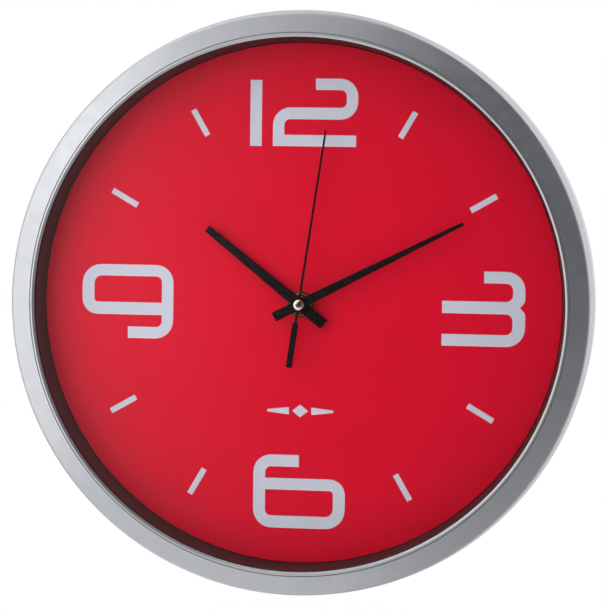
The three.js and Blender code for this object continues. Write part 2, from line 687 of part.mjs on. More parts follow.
function thirdWheel() {
  const pinion = gear(CENTRE_TO_THIRD.b, pinionRadius(CENTRE_TO_THIRD), THIRD_PINION);
  pinion.rotateY(THREE.MathUtils.degToRad(meshPhase(CENTRE_TO_THIRD)));
  const wheel = gear(THIRD_TO_SECOND.a, wheelRadius(THIRD_TO_SECOND), THIRD_WHEEL);
  return join(pinion, wheel, rod(PIVOT, behind(0.8), behind(BRIDGE_BACK - 0.2), 10));
}

function secondWheel() {
  const pinion = gear(THIRD_TO_SECOND.b, pinionRadius(THIRD_TO_SECOND), SECOND_PINION);
  pinion.rotateY(THREE.MathUtils.degToRad(meshPhase(THIRD_TO_SECOND)));
  const wheel = gear(SECOND_TO_INTERMEDIATE.a, wheelRadius(SECOND_TO_INTERMEDIATE), SECOND_WHEEL);
  return cut(join(pinion, wheel), rod(SECOND_PIN + PRESS, behind(5), behind(10), 12));
}

function intermediateWheel() {
  const pinion = gear(SECOND_TO_INTERMEDIATE.b, pinionRadius(SECOND_TO_INTERMEDIATE), INTERMEDIATE_PINION);
  pinion.rotateY(THREE.MathUtils.degToRad(meshPhase(SECOND_TO_INTERMEDIATE)));
  const wheel = gear(INTERMEDIATE_TO_ROTOR.a, wheelRadius(INTERMEDIATE_TO_ROTOR), INTERMEDIATE_WHEEL);
  return join(pinion, wheel, rod(PIVOT, behind(0.8), behind(BRIDGE_BACK - 0.2), 10));
}

function rotorPinion() {
  const pinion = gear(INTERMEDIATE_TO_ROTOR.b, pinionRadius(INTERMEDIATE_TO_ROTOR), ROTOR_PINION);
  pinion.rotateY(THREE.MathUtils.degToRad(meshPhase(INTERMEDIATE_TO_ROTOR)));
  return join(pinion, rod(PIVOT, behind(0.8), behind(BRIDGE_BACK - 0.2), 10));
}

const settingPair = {
  a: CANNON_TO_MINUTE_WORK.b,
  b: SETTING_TEETH,
  distance: SETTING_DISTANCE,
  towards: SETTING_TOWARDS,
};

function settingPinion() {
  const radius = pinionRadius(settingPair);
  const wheel = gear(SETTING_TEETH, radius, MINUTE_WORK_WHEEL, KNOB_ARBOR + PRESS);
  return wheel.rotateY(THREE.MathUtils.degToRad(meshPhase(settingPair, meshPhase(CANNON_TO_MINUTE_WORK))));
}

function settingKnob() {
  const front = behind(MOVEMENT_DEPTH - LID_THICKNESS + 0.2);
  const flutes = 20;
  const points = Array.from({ length: 2 * flutes }, (_, i) =>
    clockwise((i * 180) / flutes, KNOB_RADIUS - (i % 2) * 0.45));
  const head = plate(new THREE.Shape(points), front, front + KNOB_HEIGHT);
  return join(head, rod(KNOB_ARBOR, behind(0.8), front + 0.5, 12));
}

// ---------------------------------------------------------------- hands
// Each hand is drawn pointing at twelve and turned to its place by its group.
function barHand({ reach, tail, hub, tip, tailWidth, boss }, bore, level) {
  const bar = outline([
    [-tailWidth / 2, -tail],
    [tailWidth / 2, -tail],
    [hub / 2, 0],
    [tip / 2, reach],
    [-tip / 2, reach],
    [-hub / 2, 0],
  ]);
  const front = above(level + HAND_THICKNESS);
  const disc = rod(boss, front, above(level), 24);
  const hole = rod(bore + PRESS, front - 1, above(level) + 1, 20);
  return cut(join(plate(bar, front, above(level)), disc), hole);
}

function secondHand() {
  const { reach, tail, neckEnd, hub, tip, weight, boss } = SECOND_HAND;
  const needle = outline([
    [-weight / 2, -tail],
    [weight / 2, -tail],
    [weight / 2, -neckEnd - 0.8],
    [hub / 2, -neckEnd],
    [hub / 2, 0],
    [tip / 2, reach],
    [-tip / 2, reach],
    [-hub / 2, 0],
    [-hub / 2, -neckEnd],
    [-weight / 2, -neckEnd - 0.8],
  ]);
  const front = above(SECOND_LEVEL + HAND_THICKNESS);
  const disc = rod(boss, front, above(SECOND_LEVEL), 20);
  const hole = rod(SECOND_PIN + PRESS, front - 1, above(SECOND_LEVEL) + 1, 12);
  return cut(join(plate(needle, front, above(SECOND_LEVEL)), disc), hole);
}

function centreCap() {
  const base = SECOND_LEVEL + HAND_THICKNESS + SEAT;
  const rim = 0.2;
  const steps = 4;
  const profile = [[0, above(base + CAP_HEIGHT)]];
  for (let i = steps - 1; i >= 0; i -= 1) {
    const angle = (i / steps) * (Math.PI / 2);
    const height = rim + (CAP_HEIGHT - rim) * Math.sin(angle);
    profile.push([CAP_RADIUS * Math.cos(angle), above(base + height)]);
  }
  profile.push([CAP_RADIUS, above(base)], [0, above(base)]);
  return turned(profile, 20);
}

// ---------------------------------------------------------------- assembly
const group = new THREE.Group();

function add(parent, name, geometry, material) {
  const mesh = new THREE.Mesh(geometry, material);
  mesh.name = name;
  parent.add(mesh);
}

function turningGroup(axis, degrees = 0) {
  const body = new THREE.Group();
  body.position.set(axis.x, 0, axis.y);
  body.rotation.y = THREE.MathUtils.degToRad(degrees);
  group.add(body);
  return body;
}

add(group, 'bezel', bezel(), silverPaint);
const lens = rod(GLASS_RADIUS, above(GLASS_TOP), above(GLASS_BOTTOM), RING_SEGMENTS);
add(group, 'lens', lens, clearGlass);
add(group, 'case_shell', caseShell(), blackPlastic);
const dialShape = new THREE.Shape(circlePath(0, 0, WALL_BASE - LOOSE, RING_SEGMENTS).getPoints());
dialShape.holes.push(circlePath(0, 0, BUSHING_HOLE));
const dialSheet = plate(dialShape, DIAL_FACE, FLOOR_FRONT - SEAT);
add(group, 'dial', dialSheet, redPrint);
screwAngles().forEach((angle, i) => {
  const piece = at(screw(FLOOR_BACK + SEAT), clockwise(angle, POST_CIRCLE));
  add(group, `bezel_screw_${i + 1}`, piece, steel);
});
add(group, 'hanger_plate', hangerPlate(), zincSteel);
hangerScrewPlaces().forEach((place, i) => {
  const piece = at(screw(HANGER_BACK + SEAT), place);
  add(group, `hanger_screw_${i + 1}`, piece, steel);
});

const rubberRing = tube(BUSHING_HOLE, 8, FLOOR_BACK + SEAT, MOVEMENT_FRONT - SEAT);
add(group, 'rubber_washer', rubberRing, rubber);
const washer = tube(BUSHING_HOLE, WASHER_DIAMETER / 2, above(WASHER_THICKNESS), above(0) - SEAT, 24);
add(group, 'brass_washer', washer, brass);
add(group, 'hex_nut', hexNut(), brass);
const bushing = tube(HOUR_TUBE + RUN, BUSHING_DIAMETER / 2, above(BUSHING_REACH), behind(MOVEMENT_WALL));
add(group, 'threaded_bushing', bushing, brass);

add(group, 'movement_housing', movementHousing(), greyPlastic);
add(group, 'movement_lid', movementLid(), greyPlastic);
add(group, 'train_bridge', trainBridge(), whiteAcetal);
add(group, 'stator', stator(), steel);
add(group, 'coil_core', coilCore(), steel);
add(group, 'coil_bobbin', coilBobbin(), blackPlastic);
add(group, 'coil_winding', coilWinding(), copper);
add(group, 'circuit_board', circuitBoard(), board);
add(group, 'crystal_can', crystalCan(), nickel);
add(group, 'chip_cover', chipCover(), blackPlastic);
add(group, 'contact_positive', contactPositive(), nickel);
add(group, 'contact_negative', contactNegative(), nickel);

const batteryMiddle = MOVEMENT_WALL + LOOSE + BATTERY_DIAMETER / 2;
const batteryGroup = new THREE.Group();
const batteryX = BATTERY_END + TERMINAL_LENGTH + BATTERY_CAN_LENGTH / 2;
batteryGroup.position.set(batteryX, behind(batteryMiddle), BATTERY_Z);
group.add(batteryGroup);
add(batteryGroup, 'battery_cell', batteryCell(), batteryLabel);
add(batteryGroup, 'battery_terminal', batteryTerminal(), nickel);

const hourPhase = meshPhase(MINUTE_WORK_TO_HOUR);
add(turningGroup(CENTRE_AXIS, hourPhase), 'hour_wheel', hourWheel(), whiteAcetal);
const hourHand = barHand(HOUR_HAND, HOUR_TUBE, HOUR_LEVEL);
add(turningGroup(CENTRE_AXIS, HANDS_AT.hour), 'hour_hand', hourHand, blackEnamel);

const minuteTrain = turningGroup(CENTRE_AXIS);
add(minuteTrain, 'minute_arbor', minuteArbor(), brass);
const centreBore = MINUTE_TUBE + PRESS;
const centreWheel = gear(CENTRE_TO_THIRD.a, wheelRadius(CENTRE_TO_THIRD), CENTRE_WHEEL, centreBore);
add(minuteTrain, 'centre_wheel', centreWheel, whiteAcetal);
const minuteHand = barHand(MINUTE_HAND, MINUTE_TUBE, MINUTE_LEVEL);
add(turningGroup(CENTRE_AXIS, HANDS_AT.minute), 'minute_hand', minuteHand, blackEnamel);

const secondTrain = turningGroup(CENTRE_AXIS);
const secondPin = rod(SECOND_PIN, above(SECOND_LEVEL + HAND_THICKNESS), behind(BRIDGE_BACK - 0.2), 12);
add(secondTrain, 'second_arbor', secondPin, steel);
add(secondTrain, 'second_wheel', secondWheel(), whiteAcetal);
const secondGroup = turningGroup(CENTRE_AXIS, HANDS_AT.second);
add(secondGroup, 'second_hand', secondHand(), blackEnamel);
add(secondGroup, 'centre_cap', centreCap(), nickel);

add(turningGroup(THIRD_AXIS), 'third_wheel', thirdWheel(), whiteAcetal);
add(turningGroup(INTERMEDIATE_AXIS), 'intermediate_wheel', intermediateWheel(), whiteAcetal);
const rotorGroup = turningGroup(ROTOR_AXIS);
add(rotorGroup, 'rotor_pinion', rotorPinion(), whiteAcetal);
const magnetFront = behind(ROTOR_MAGNET[0]) + SEAT;
const magnet = tube(PIVOT + PRESS, MAGNET_RADIUS, magnetFront, behind(ROTOR_MAGNET[1]), 20);
add(rotorGroup, 'rotor_magnet', magnet, ferrite);
add(turningGroup(MINUTE_WORK_AXIS), 'minute_work_wheel', minuteWorkWheel(), whiteAcetal);
const settingGroup = turningGroup(SETTING_AXIS);
add(settingGroup, 'setting_knob', settingKnob(), greyPlastic);
add(settingGroup, 'setting_pinion', settingPinion(), whiteAcetal);

// The origin is where the hook bears: the top of the keyhole slot, in the plane of the wall.
group.position.z = -(HANGER_Z + (KEYHOLE_LENGTH + KEYHOLE_SLOT) / 2);

export default group;
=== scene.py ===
# %% [markdown]
# # A round wall clock
# A 30 cm quartz clock: a silver bezel, a black case, a pane of glass, a red printed dial with bold
# numerals, and three black hands. The mechanical model is loaded first and stays where it is. It
# carries the turning bodies and the sizes. Each step below makes one piece that is finer than its
# mechanical stand-in, or one finish, and sets it on the body that moves it.

# %% Load the mechanical model
import math
import random

import bmesh
import bpy
from mathutils import Matrix, Vector


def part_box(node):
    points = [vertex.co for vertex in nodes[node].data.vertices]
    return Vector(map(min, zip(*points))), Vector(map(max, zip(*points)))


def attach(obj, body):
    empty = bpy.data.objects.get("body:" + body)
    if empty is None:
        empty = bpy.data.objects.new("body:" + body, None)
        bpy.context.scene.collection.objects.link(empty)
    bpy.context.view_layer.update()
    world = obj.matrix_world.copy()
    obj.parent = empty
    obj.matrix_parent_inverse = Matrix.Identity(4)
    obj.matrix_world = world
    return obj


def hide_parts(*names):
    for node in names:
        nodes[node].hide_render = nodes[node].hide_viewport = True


MM = 0.001
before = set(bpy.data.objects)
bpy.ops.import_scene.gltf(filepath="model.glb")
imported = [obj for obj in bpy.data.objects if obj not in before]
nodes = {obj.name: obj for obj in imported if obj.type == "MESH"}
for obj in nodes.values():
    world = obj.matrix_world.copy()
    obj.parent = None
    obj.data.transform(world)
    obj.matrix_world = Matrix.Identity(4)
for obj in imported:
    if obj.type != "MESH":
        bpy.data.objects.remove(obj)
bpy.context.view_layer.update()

# %% [markdown]
# ## Where things are
# All the round pieces share the axis of the hands. So the pieces are drawn in millimetres from the
# middle of the dial's face, with x to the right, z up, and y away from the viewer. A height is how
# far something stands out towards the viewer, which is -y. One matrix takes such a drawing to its
# place in the model, in metres.

# %% The drawing's place in the model
dial_low, dial_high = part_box("dial")
dial_middle = (dial_low + dial_high) / 2
DIAL_CENTRE = Vector((dial_middle.x, dial_low.y, dial_middle.z))
TO_MODEL = Matrix.Translation(DIAL_CENTRE) @ Matrix.Scale(MM, 4)
TO_DRAWING = TO_MODEL.inverted()


def box_mm(node):
    """Lowest corner, highest corner and middle of a mechanical piece, in the drawing's mm."""
    low, high = (TO_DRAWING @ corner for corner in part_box(node))
    return low, high, (low + high) / 2


print("dial centre", [round(v / MM, 1) for v in DIAL_CENTRE], "mm")

# %% [markdown]
# ## Camera
# The clock is looked at from a little to its right and a little above, through a long lens, so its
# left inner wall and its right outer side both show. Three turns and a distance say this more
# clearly than a point in space does.

# %% Camera
VIEW_TURN, VIEW_TILT, VIEW_ROLL = math.radians(-7.9535), math.radians(3.5733), math.radians(0.7475)
VIEW_DISTANCE = 1311.17 * MM
VIEW_SLIDE = Vector((1.13, 0, -0.51)) * MM
LENS_MM, SENSOR_MM = 150.72, 36

turn = (
    Matrix.Rotation(VIEW_ROLL, 3, "Y")
    @ Matrix.Rotation(VIEW_TILT, 3, "X")
    @ Matrix.Rotation(VIEW_TURN, 3, "Z")
)
lens_data = bpy.data.cameras.new("long_lens")
lens_data.lens = LENS_MM
lens_data.sensor_width = SENSOR_MM
camera = bpy.data.objects.new("camera", lens_data)
place = DIAL_CENTRE + turn.transposed() @ (VIEW_SLIDE - Vector((0, VIEW_DISTANCE, 0)))
facing = turn.transposed() @ Matrix.Rotation(math.radians(90), 3, "X")
camera.matrix_world = Matrix.Translation(place) @ facing.to_4x4()
bpy.context.scene.collection.objects.link(camera)
bpy.context.scene.camera = camera
print("camera at", [round(v, 3) for v in place], "m")

# %% [markdown]
# ## Colour
# Colours are written as the hex values a designer would read off a screen. Blender mixes light in
# linear values, so one function turns the first into the second. The plain "Standard" display keeps
# a strong red as strong as it is.


# %% Colour and display
def linear(hex_colour):
    """Linear red, green, blue and alpha of an sRGB hex colour such as "#c8102e"."""
    channels = [int(hex_colour[i : i + 2], 16) / 255 for i in (1, 3, 5)]
    return [c / 12.92 if c <= 0.04045 else ((c + 0.055) / 1.055) ** 2.4 for c in channels] + [1]


bpy.context.scene.view_settings.view_transform = "Standard"
print("mid grey is", round(linear("#808080")[0], 3), "in linear light")


# %% [markdown]
# ## Nodes
# Every finish is a small graph of nodes. This one function adds a node, gives it its settings, and
# fills its sockets with numbers, colours or other nodes' outputs, so a graph reads from top to
# bottom like a recipe.


# %% The one node helper
MIX_A, MIX_B, MIX_RESULT = 6, 7, 2  # the colour sockets of a Mix node


def add_node(tree, kind, sockets=None, **settings):
    """A new node with its settings; sockets holds values, or outputs to link from."""
    node = tree.nodes.new(kind)
    for name, value in settings.items():
        setattr(node, name, value)
    for socket, value in (sockets or {}).items():
        if isinstance(value, bpy.types.NodeSocket):
            tree.links.new(value, node.inputs[socket])
        else:
            node.inputs[socket].default_value = value
    return node


print("a Mix node's colours go in sockets", MIX_A, "and", MIX_B)


# %% The start and the end of a material
def new_material(name):
    """An empty material and its node tree."""
    material = bpy.data.materials.new(name)
    material.use_nodes = True
    material.node_tree.nodes.clear()
    return material, material.node_tree


def finish_material(tree, sockets):
    """Ends a material in one Principled shader with these sockets."""
    shader = add_node(tree, "ShaderNodeBsdfPrincipled", sockets)
    add_node(tree, "ShaderNodeOutputMaterial", {"Surface": shader.outputs["BSDF"]})


print(len(bpy.data.materials), "materials so far")

# %% [markdown]
# ## Studio
# The clock hangs in a light tent that is brightest beside and just behind it, where the bezel's
# slopes mirror it. The room in front is dark but for a dim wall ahead and to the left, which the
# glass mirrors as a thin veil over the dial's left half. The camera itself sees white paper.

# %% The tent
TENT_FRONT, TENT_BRIGHTEST, TENT_BACK = -0.3, 0.2, 0.9  # where along y the tent fades in and out
TENT_LIGHT, TENT_LEFT_OVER, TENT_DARKEST = 2.0, 0.45, 0.01

room = bpy.data.worlds.new("studio")
room.use_nodes = True
tree = room.node_tree
tree.nodes.clear()
direction = add_node(tree, "ShaderNodeTexCoord")
split = add_node(tree, "ShaderNodeSeparateXYZ", {0: direction.outputs["Generated"]})
fade_in = add_node(
    tree,
    "ShaderNodeMapRange",
    {
        "Value": split.outputs["Y"],
        "From Min": TENT_FRONT,
        "From Max": TENT_BRIGHTEST,
        "To Min": TENT_DARKEST,
        "To Max": TENT_LIGHT,
    },
)
fade_out = add_node(
    tree,
    "ShaderNodeMapRange",
    {
        "Value": split.outputs["Y"],
        "From Min": TENT_BACK,
        "From Max": TENT_BRIGHTEST,
        "To Min": TENT_LEFT_OVER,
    },
)
tent_level = add_node(
    tree,
    "ShaderNodeMath",
    {0: fade_in.outputs[0], 1: fade_out.outputs[0]},
    operation="MULTIPLY",
)
print("tent brightest at y =", TENT_BRIGHTEST)

# %% The veil on the glass, added to the tent
VEIL_RIGHT, VEIL_LEFT, VEIL_LIGHT = -0.12, -0.26, 0.18  # where along x it fades in, and how bright
VEIL_SIDE, VEIL_FRONT = -0.8, -0.93  # where along y it fades in

leftward = add_node(
    tree,
    "ShaderNodeMapRange",
    {
        "Value": split.outputs["X"],
        "From Min": VEIL_RIGHT,
        "From Max": VEIL_LEFT,
        "To Max": VEIL_LIGHT,
    },
    interpolation_type="SMOOTHSTEP",
)
in_front = add_node(
    tree,
    "ShaderNodeMapRange",
    {"Value": split.outputs["Y"], "From Min": VEIL_SIDE, "From Max": VEIL_FRONT},
)
level = add_node(
    tree,
    "ShaderNodeMath",
    {0: leftward.outputs[0], 1: in_front.outputs[0], 2: tent_level.outputs[0]},
    operation="MULTIPLY_ADD",
)
print("veil strength", VEIL_LIGHT)

# %% The world
tent = add_node(
    tree,
    "ShaderNodeBackground",
    {"Color": linear("#fcfdff"), "Strength": level.outputs[0]},
)
white_paper = add_node(tree, "ShaderNodeBackground", {"Color": linear("#ffffff"), "Strength": 1.0})
seen = add_node(tree, "ShaderNodeLightPath")
shown = add_node(
    tree,
    "ShaderNodeMixShader",
    {0: seen.outputs["Is Camera Ray"], 1: tent.outputs[0], 2: white_paper.outputs[0]},
)
add_node(tree, "ShaderNodeOutputWorld", {"Surface": shown.outputs[0]})
bpy.context.scene.world = room
print("world:", room.name)

# %% [markdown]
# The key light is a softbox far round on the left and a little above the middle. So the case throws
# a soft shadow on the dial's left edge, and the bezel is brightest at its upper left. Two panels
# and two strips on the same side spread that light. A tall panel on the right lights the far rim, a
# narrow one nearer the front lifts the dial, and one lamp stands behind.


# %% Lamps
def softbox(name, bearing, elevation, distance, size, watts, tint="#ffffff"):
    """A rectangular lamp facing the dial. Bearing 0 is straight in front, 90 is on the right."""
    b, e = math.radians(bearing), math.radians(elevation)
    out = Vector((math.sin(b) * math.cos(e), -math.cos(b) * math.cos(e), math.sin(e)))
    lamp = bpy.data.lights.new(name, "AREA")
    lamp.shape = "RECTANGLE"
    lamp.size, lamp.size_y = size
    lamp.energy = watts
    lamp.color = linear(tint)[:3]
    stand = bpy.data.objects.new(name, lamp)
    stand.location = DIAL_CENTRE + out * distance
    stand.rotation_euler = out.to_track_quat("Z", "Y").to_euler()
    stand.visible_camera = False
    bpy.context.scene.collection.objects.link(stand)


softbox("key_softbox", -52, 6, 0.5, (0.35, 0.6), 1.75, "#fffefc")
softbox("upper_left_panel", -30, 25, 1.0, (0.6, 0.5), 1.3)
softbox("lower_left_panel", -35, -30, 1.0, (0.5, 0.4), 0.5)
softbox("high_strip", -35, 58, 1.1, (1.2, 0.5), 5.2)
softbox("low_strip", -35, -56, 1.1, (1.2, 0.5), 2.7)
softbox("right_panel", 70, 0, 1.1, (0.6, 1.4), 2.1)
softbox("front_right_panel", 25, -3, 1.2, (0.3, 0.9), 0.15)
softbox("back_light", 150, 5, 1.3, (1.2, 1.6), 2.0)
print(len(bpy.data.lights), "lamps")

# %% [markdown]
# ## Floor
# A wall clock hangs well above the floor. The floor is a plain pale board a metre and more below,
# and it only shows when the clock is looked at from higher up.

# %% Floor
FLOOR_DROP, FLOOR_SIZE = 1.2, 6.0  # metres
SPECKLES_ACROSS = 40

floor_mesh = bpy.data.meshes.new("floor")
board = bmesh.new()
bmesh.ops.create_grid(board, x_segments=1, y_segments=1, size=FLOOR_SIZE / 2)
board.to_mesh(floor_mesh)
board.free()
floor = bpy.data.objects.new("floor", floor_mesh)
floor.location = (0, 0, DIAL_CENTRE.z - FLOOR_DROP)
bpy.context.scene.collection.objects.link(floor)
floor_paint, tree = new_material("floor_matt_emulsion_paint")
grain = add_node(tree, "ShaderNodeTexNoise", {"Scale": SPECKLES_ACROSS})
tone = add_node(
    tree,
    "ShaderNodeMix",
    {"Factor": grain.outputs[0], MIX_A: linear("#e2e1df"), MIX_B: linear("#e8e7e5")},
    data_type="RGBA",
)
finish_material(tree, {"Base Color": tone.outputs[MIX_RESULT], "Roughness": 0.85})
floor_mesh.materials.append(floor_paint)
print("floor", FLOOR_SIZE, "m across")

# %% [markdown]
# ## Finishes
# Most surfaces differ from a flat colour in three quiet ways: the tone wanders a little, the gloss
# wanders with it, and there is a fine relief. One recipe gives all three from a noise whose grain
# is a real size. The finishes with a pattern of their own, such as lathe marks, come after it.


# %% The scale of a pattern
NOISE_LOW, NOISE_HIGH = 0.3, 0.7  # a noise texture seldom leaves this range


def per_metre(size_mm):
    """The texture scale at which a pattern repeats every size_mm."""
    return 1 / (size_mm * MM)


print("a 0.5 mm grain has a texture scale of", round(per_metre(0.5)))


# %% The grained recipe
def grained(name, dark, light, grain, gloss, relief, **shader):
    """A finish with two tones, a gloss range and a relief in mm, over grains of the given mm."""
    material, tree = new_material(name)
    spot = add_node(tree, "ShaderNodeTexCoord").outputs["Object"]
    noise = add_node(
        tree,
        "ShaderNodeTexNoise",
        {"Vector": spot, "Scale": per_metre(grain), "Detail": 3},
    )
    tone = add_node(
        tree,
        "ShaderNodeMix",
        {"Factor": noise.outputs[0], MIX_A: linear(dark), MIX_B: linear(light)},
        data_type="RGBA",
    )
    roughness = add_node(
        tree,
        "ShaderNodeMapRange",
        {
            "Value": noise.outputs[0],
            "From Min": NOISE_LOW,
            "From Max": NOISE_HIGH,
            "To Min": gloss[0],
            "To Max": gloss[1],
        },
    )
    bump = add_node(tree, "ShaderNodeBump", {"Height": noise.outputs[0], "Distance": relief * MM})
    sockets = {"Base Color": tone.outputs[MIX_RESULT], "Roughness": roughness.outputs[0]}
    sockets["Normal"] = bump.outputs[0]
    finish_material(tree, {**sockets, **shader})
    return material


print("recipe:", grained.__name__)


# %% Plastics and rubber
# Black ABS from a fine-ground mould: a soft, even sheen.
black_abs = grained("moulded_black_abs", "#171415", "#241f20", 0.5, (0.38, 0.5), 0.004, IOR=1.53)
# Grey ABS from a spark-eroded mould: dull, with a faint sparkle where light grazes it.
grey_abs = grained(
    "spark_eroded_grey_abs", "#2b2b2d", "#37373a", 0.35, (0.5, 0.62), 0.012, IOR=1.53
)
# Acetal is a milky, slightly waxy plastic that lets a little light in.
acetal = grained(
    "moulded_white_acetal", "#ddd8c9", "#ebe7db", 1.2, (0.36, 0.46), 0.002, IOR=1.48,
    **{"Subsurface Weight": 0.1, "Subsurface Radius": (0.002, 0.0018, 0.0015)},
)
# Nitrile rubber is matt and a touch dusty.
nitrile_rubber = grained(
    "moulded_nitrile_rubber", "#1a1a1a", "#272625", 0.4, (0.78, 0.9), 0.01, IOR=1.52
)
print(len(bpy.data.materials), "materials so far")

# %% Ink and enamel
INK_SHEEN = 0.22  # specular level of a thin printed or enamelled coat

# Screen ink lies in a flat, even coat with the mesh's fine tooth left in it.
pale_ink = grained(
    "pale_grey_screen_ink", "#d3d6e8", "#dbdeef", 0.6, (0.3, 0.4), 0.002, IOR=1.5,
    **{"Specular IOR Level": INK_SHEEN},
)
# Stoving enamel flows out smooth, so it keeps soft highlights on a near-black ground.
black_enamel = grained(
    "black_stoving_enamel", "#120d0e", "#1a1315", 0.8, (0.24, 0.3), 0.002, IOR=1.52,
    **{"Specular IOR Level": INK_SHEEN},
)
print(pale_ink.name, black_enamel.name)

# %% Nickel and ferrite
# Bright nickel is a warm mirror with only a breath of haze.
bright_nickel = grained(
    "bright_nickel_plate", "#cbc4b4", "#d8d2c5", 0.7, (0.1, 0.16), 0.001, Metallic=1.0
)
# Ferrite is pressed from powder and fired: dark, dense and slightly metallic to the eye.
ferrite = grained("sintered_ferrite", "#2c2a28", "#413e3b", 0.25, (0.45, 0.6), 0.01, IOR=2.2)
print(bright_nickel.name, ferrite.name)

# %% [markdown]
# ### Silver lacquer
# The bezel is moulded plastic under a silver lacquer: tiny aluminium flakes in a clear binder. It
# mirrors only softly, so the softbox becomes a slow change from light to dark round the ring. A
# thin clear coat keeps a gentle edge to the highlights. Flakes are far finer than can be seen, so
# their sparkle is drawn at a third of a millimetre.

# %% Silver lacquer on ABS
silver_lacquer, tree = new_material("silver_lacquer_on_abs")
spot = add_node(tree, "ShaderNodeTexCoord").outputs["Object"]
flakes = add_node(
    tree,
    "ShaderNodeTexNoise",
    {"Vector": spot, "Scale": per_metre(0.33), "Detail": 2},
)
flow = add_node(tree, "ShaderNodeTexNoise", {"Vector": spot, "Scale": per_metre(6), "Detail": 1})
tone = add_node(
    tree,
    "ShaderNodeMix",
    {"Factor": flakes.outputs[0], MIX_A: linear("#919397"), MIX_B: linear("#a5a7ac")},
    data_type="RGBA",
)
gloss = add_node(
    tree,
    "ShaderNodeMapRange",
    {
        "Value": flow.outputs[0],
        "From Min": NOISE_LOW,
        "From Max": NOISE_HIGH,
        "To Min": 0.4,
        "To Max": 0.46,
    },
)
peel = add_node(tree, "ShaderNodeBump", {"Height": flow.outputs[0], "Distance": 0.004 * MM})
sparkle = add_node(
    tree,
    "ShaderNodeBump",
    {"Height": flakes.outputs[0], "Distance": 0.0025 * MM, "Normal": peel.outputs[0]},
)
sockets = {"Base Color": tone.outputs[MIX_RESULT], "Metallic": 0.8}
sockets |= {"Roughness": gloss.outputs[0], "Normal": sparkle.outputs[0]}
finish_material(tree, {**sockets, "Coat Weight": 0.25, "Coat Roughness": 0.15})
print(silver_lacquer.name)

# %% [markdown]
# ### Red screen print
# The dial is thin sheet with a flat coat of red ink. The coat is even to a few per cent, with a
# tooth left by the printing mesh. It is semi-matt: the key light leaves a wide, weak sheen on it.

# %% Red screen print
red_print, tree = new_material("red_screen_printed_sheet")
spot = add_node(tree, "ShaderNodeTexCoord").outputs["Object"]
coat = add_node(tree, "ShaderNodeTexNoise", {"Vector": spot, "Scale": per_metre(35), "Detail": 4})
tooth = add_node(tree, "ShaderNodeTexNoise", {"Vector": spot, "Scale": per_metre(0.5), "Detail": 2})
tone = add_node(
    tree,
    "ShaderNodeMix",
    {"Factor": coat.outputs[0], MIX_A: linear("#e2032c"), MIX_B: linear("#ea0530")},
    data_type="RGBA",
)
gloss = add_node(
    tree,
    "ShaderNodeMapRange",
    {
        "Value": tooth.outputs[0],
        "From Min": NOISE_LOW,
        "From Max": NOISE_HIGH,
        "To Min": 0.28,
        "To Max": 0.34,
    },
)
relief = add_node(tree, "ShaderNodeBump", {"Height": tooth.outputs[0], "Distance": 0.002 * MM})
sockets = {"Base Color": tone.outputs[MIX_RESULT], "Roughness": gloss.outputs[0]}
sockets |= {"Normal": relief.outputs[0], "IOR": 1.5}
finish_material(tree, {**sockets, "Specular IOR Level": INK_SHEEN})
print(red_print.name)

# %% [markdown]
# ### Glass
# Float glass is flat, clear and a very little green. It bends light by 1.52, and its slow waves are
# thousandths of a millimetre high, so they only just move a reflection. Lamps shine through a real
# pane almost unchanged, so the pane casts no shadow here.

# %% Float glass
float_glass, tree = new_material("clear_float_glass")
spot = add_node(tree, "ShaderNodeTexCoord").outputs["Object"]
waves = add_node(tree, "ShaderNodeTexNoise", {"Vector": spot, "Scale": per_metre(60), "Detail": 0})
relief = add_node(tree, "ShaderNodeBump", {"Height": waves.outputs[0], "Distance": 0.003 * MM})
sockets = {"Base Color": linear("#fbfefc"), "Normal": relief.outputs[0]}
finish_material(tree, {**sockets, "Transmission Weight": 1.0, "Roughness": 0.0, "IOR": 1.52})
print(float_glass.name)

# %% [markdown]
# ### Metals with a pattern
# Turned brass carries the rings of the lathe tool. Real ones are a few hundredths of a millimetre
# apart, too fine to show, so they are drawn one and a half millimetres apart. A wave texture has a
# scale of its own. Zinc plate has a soft spangle of crystals some millimetres wide.


# %% The scale of a wave texture
WAVE_PHASE = 20  # radians that a wave texture runs through in each unit


def bands_per_metre(size_mm):
    """The wave texture scale at which its bands repeat every size_mm."""
    return math.tau / WAVE_PHASE * per_metre(size_mm)


print("bands 1.57 mm apart have a texture scale of", round(bands_per_metre(1.57)))

# %% Turned brass
turned_brass, tree = new_material("turned_brass")
spot = add_node(tree, "ShaderNodeTexCoord").outputs["Object"]
from_axis = add_node(tree, "ShaderNodeMapping", {"Vector": spot, "Location": -DIAL_CENTRE})
rings = add_node(
    tree,
    "ShaderNodeTexWave",
    {
        "Vector": from_axis.outputs[0],
        "Scale": bands_per_metre(1.571),
        "Distortion": 0.4,
        "Detail": 1,
    },
    wave_type="RINGS",
    rings_direction="Y",
)
tone = add_node(
    tree,
    "ShaderNodeMix",
    {"Factor": rings.outputs[0], MIX_A: linear("#9c7a41"), MIX_B: linear("#b8945a")},
    data_type="RGBA",
)
gloss = add_node(
    tree,
    "ShaderNodeMapRange",
    {"Value": rings.outputs[0], "To Min": 0.22, "To Max": 0.34},
)
marks = add_node(tree, "ShaderNodeBump", {"Height": rings.outputs[0], "Distance": 0.004 * MM})
sockets = {"Base Color": tone.outputs[MIX_RESULT], "Metallic": 1.0}
sockets |= {"Roughness": gloss.outputs[0], "Normal": marks.outputs[0]}
finish_material(tree, sockets)
print(turned_brass.name)

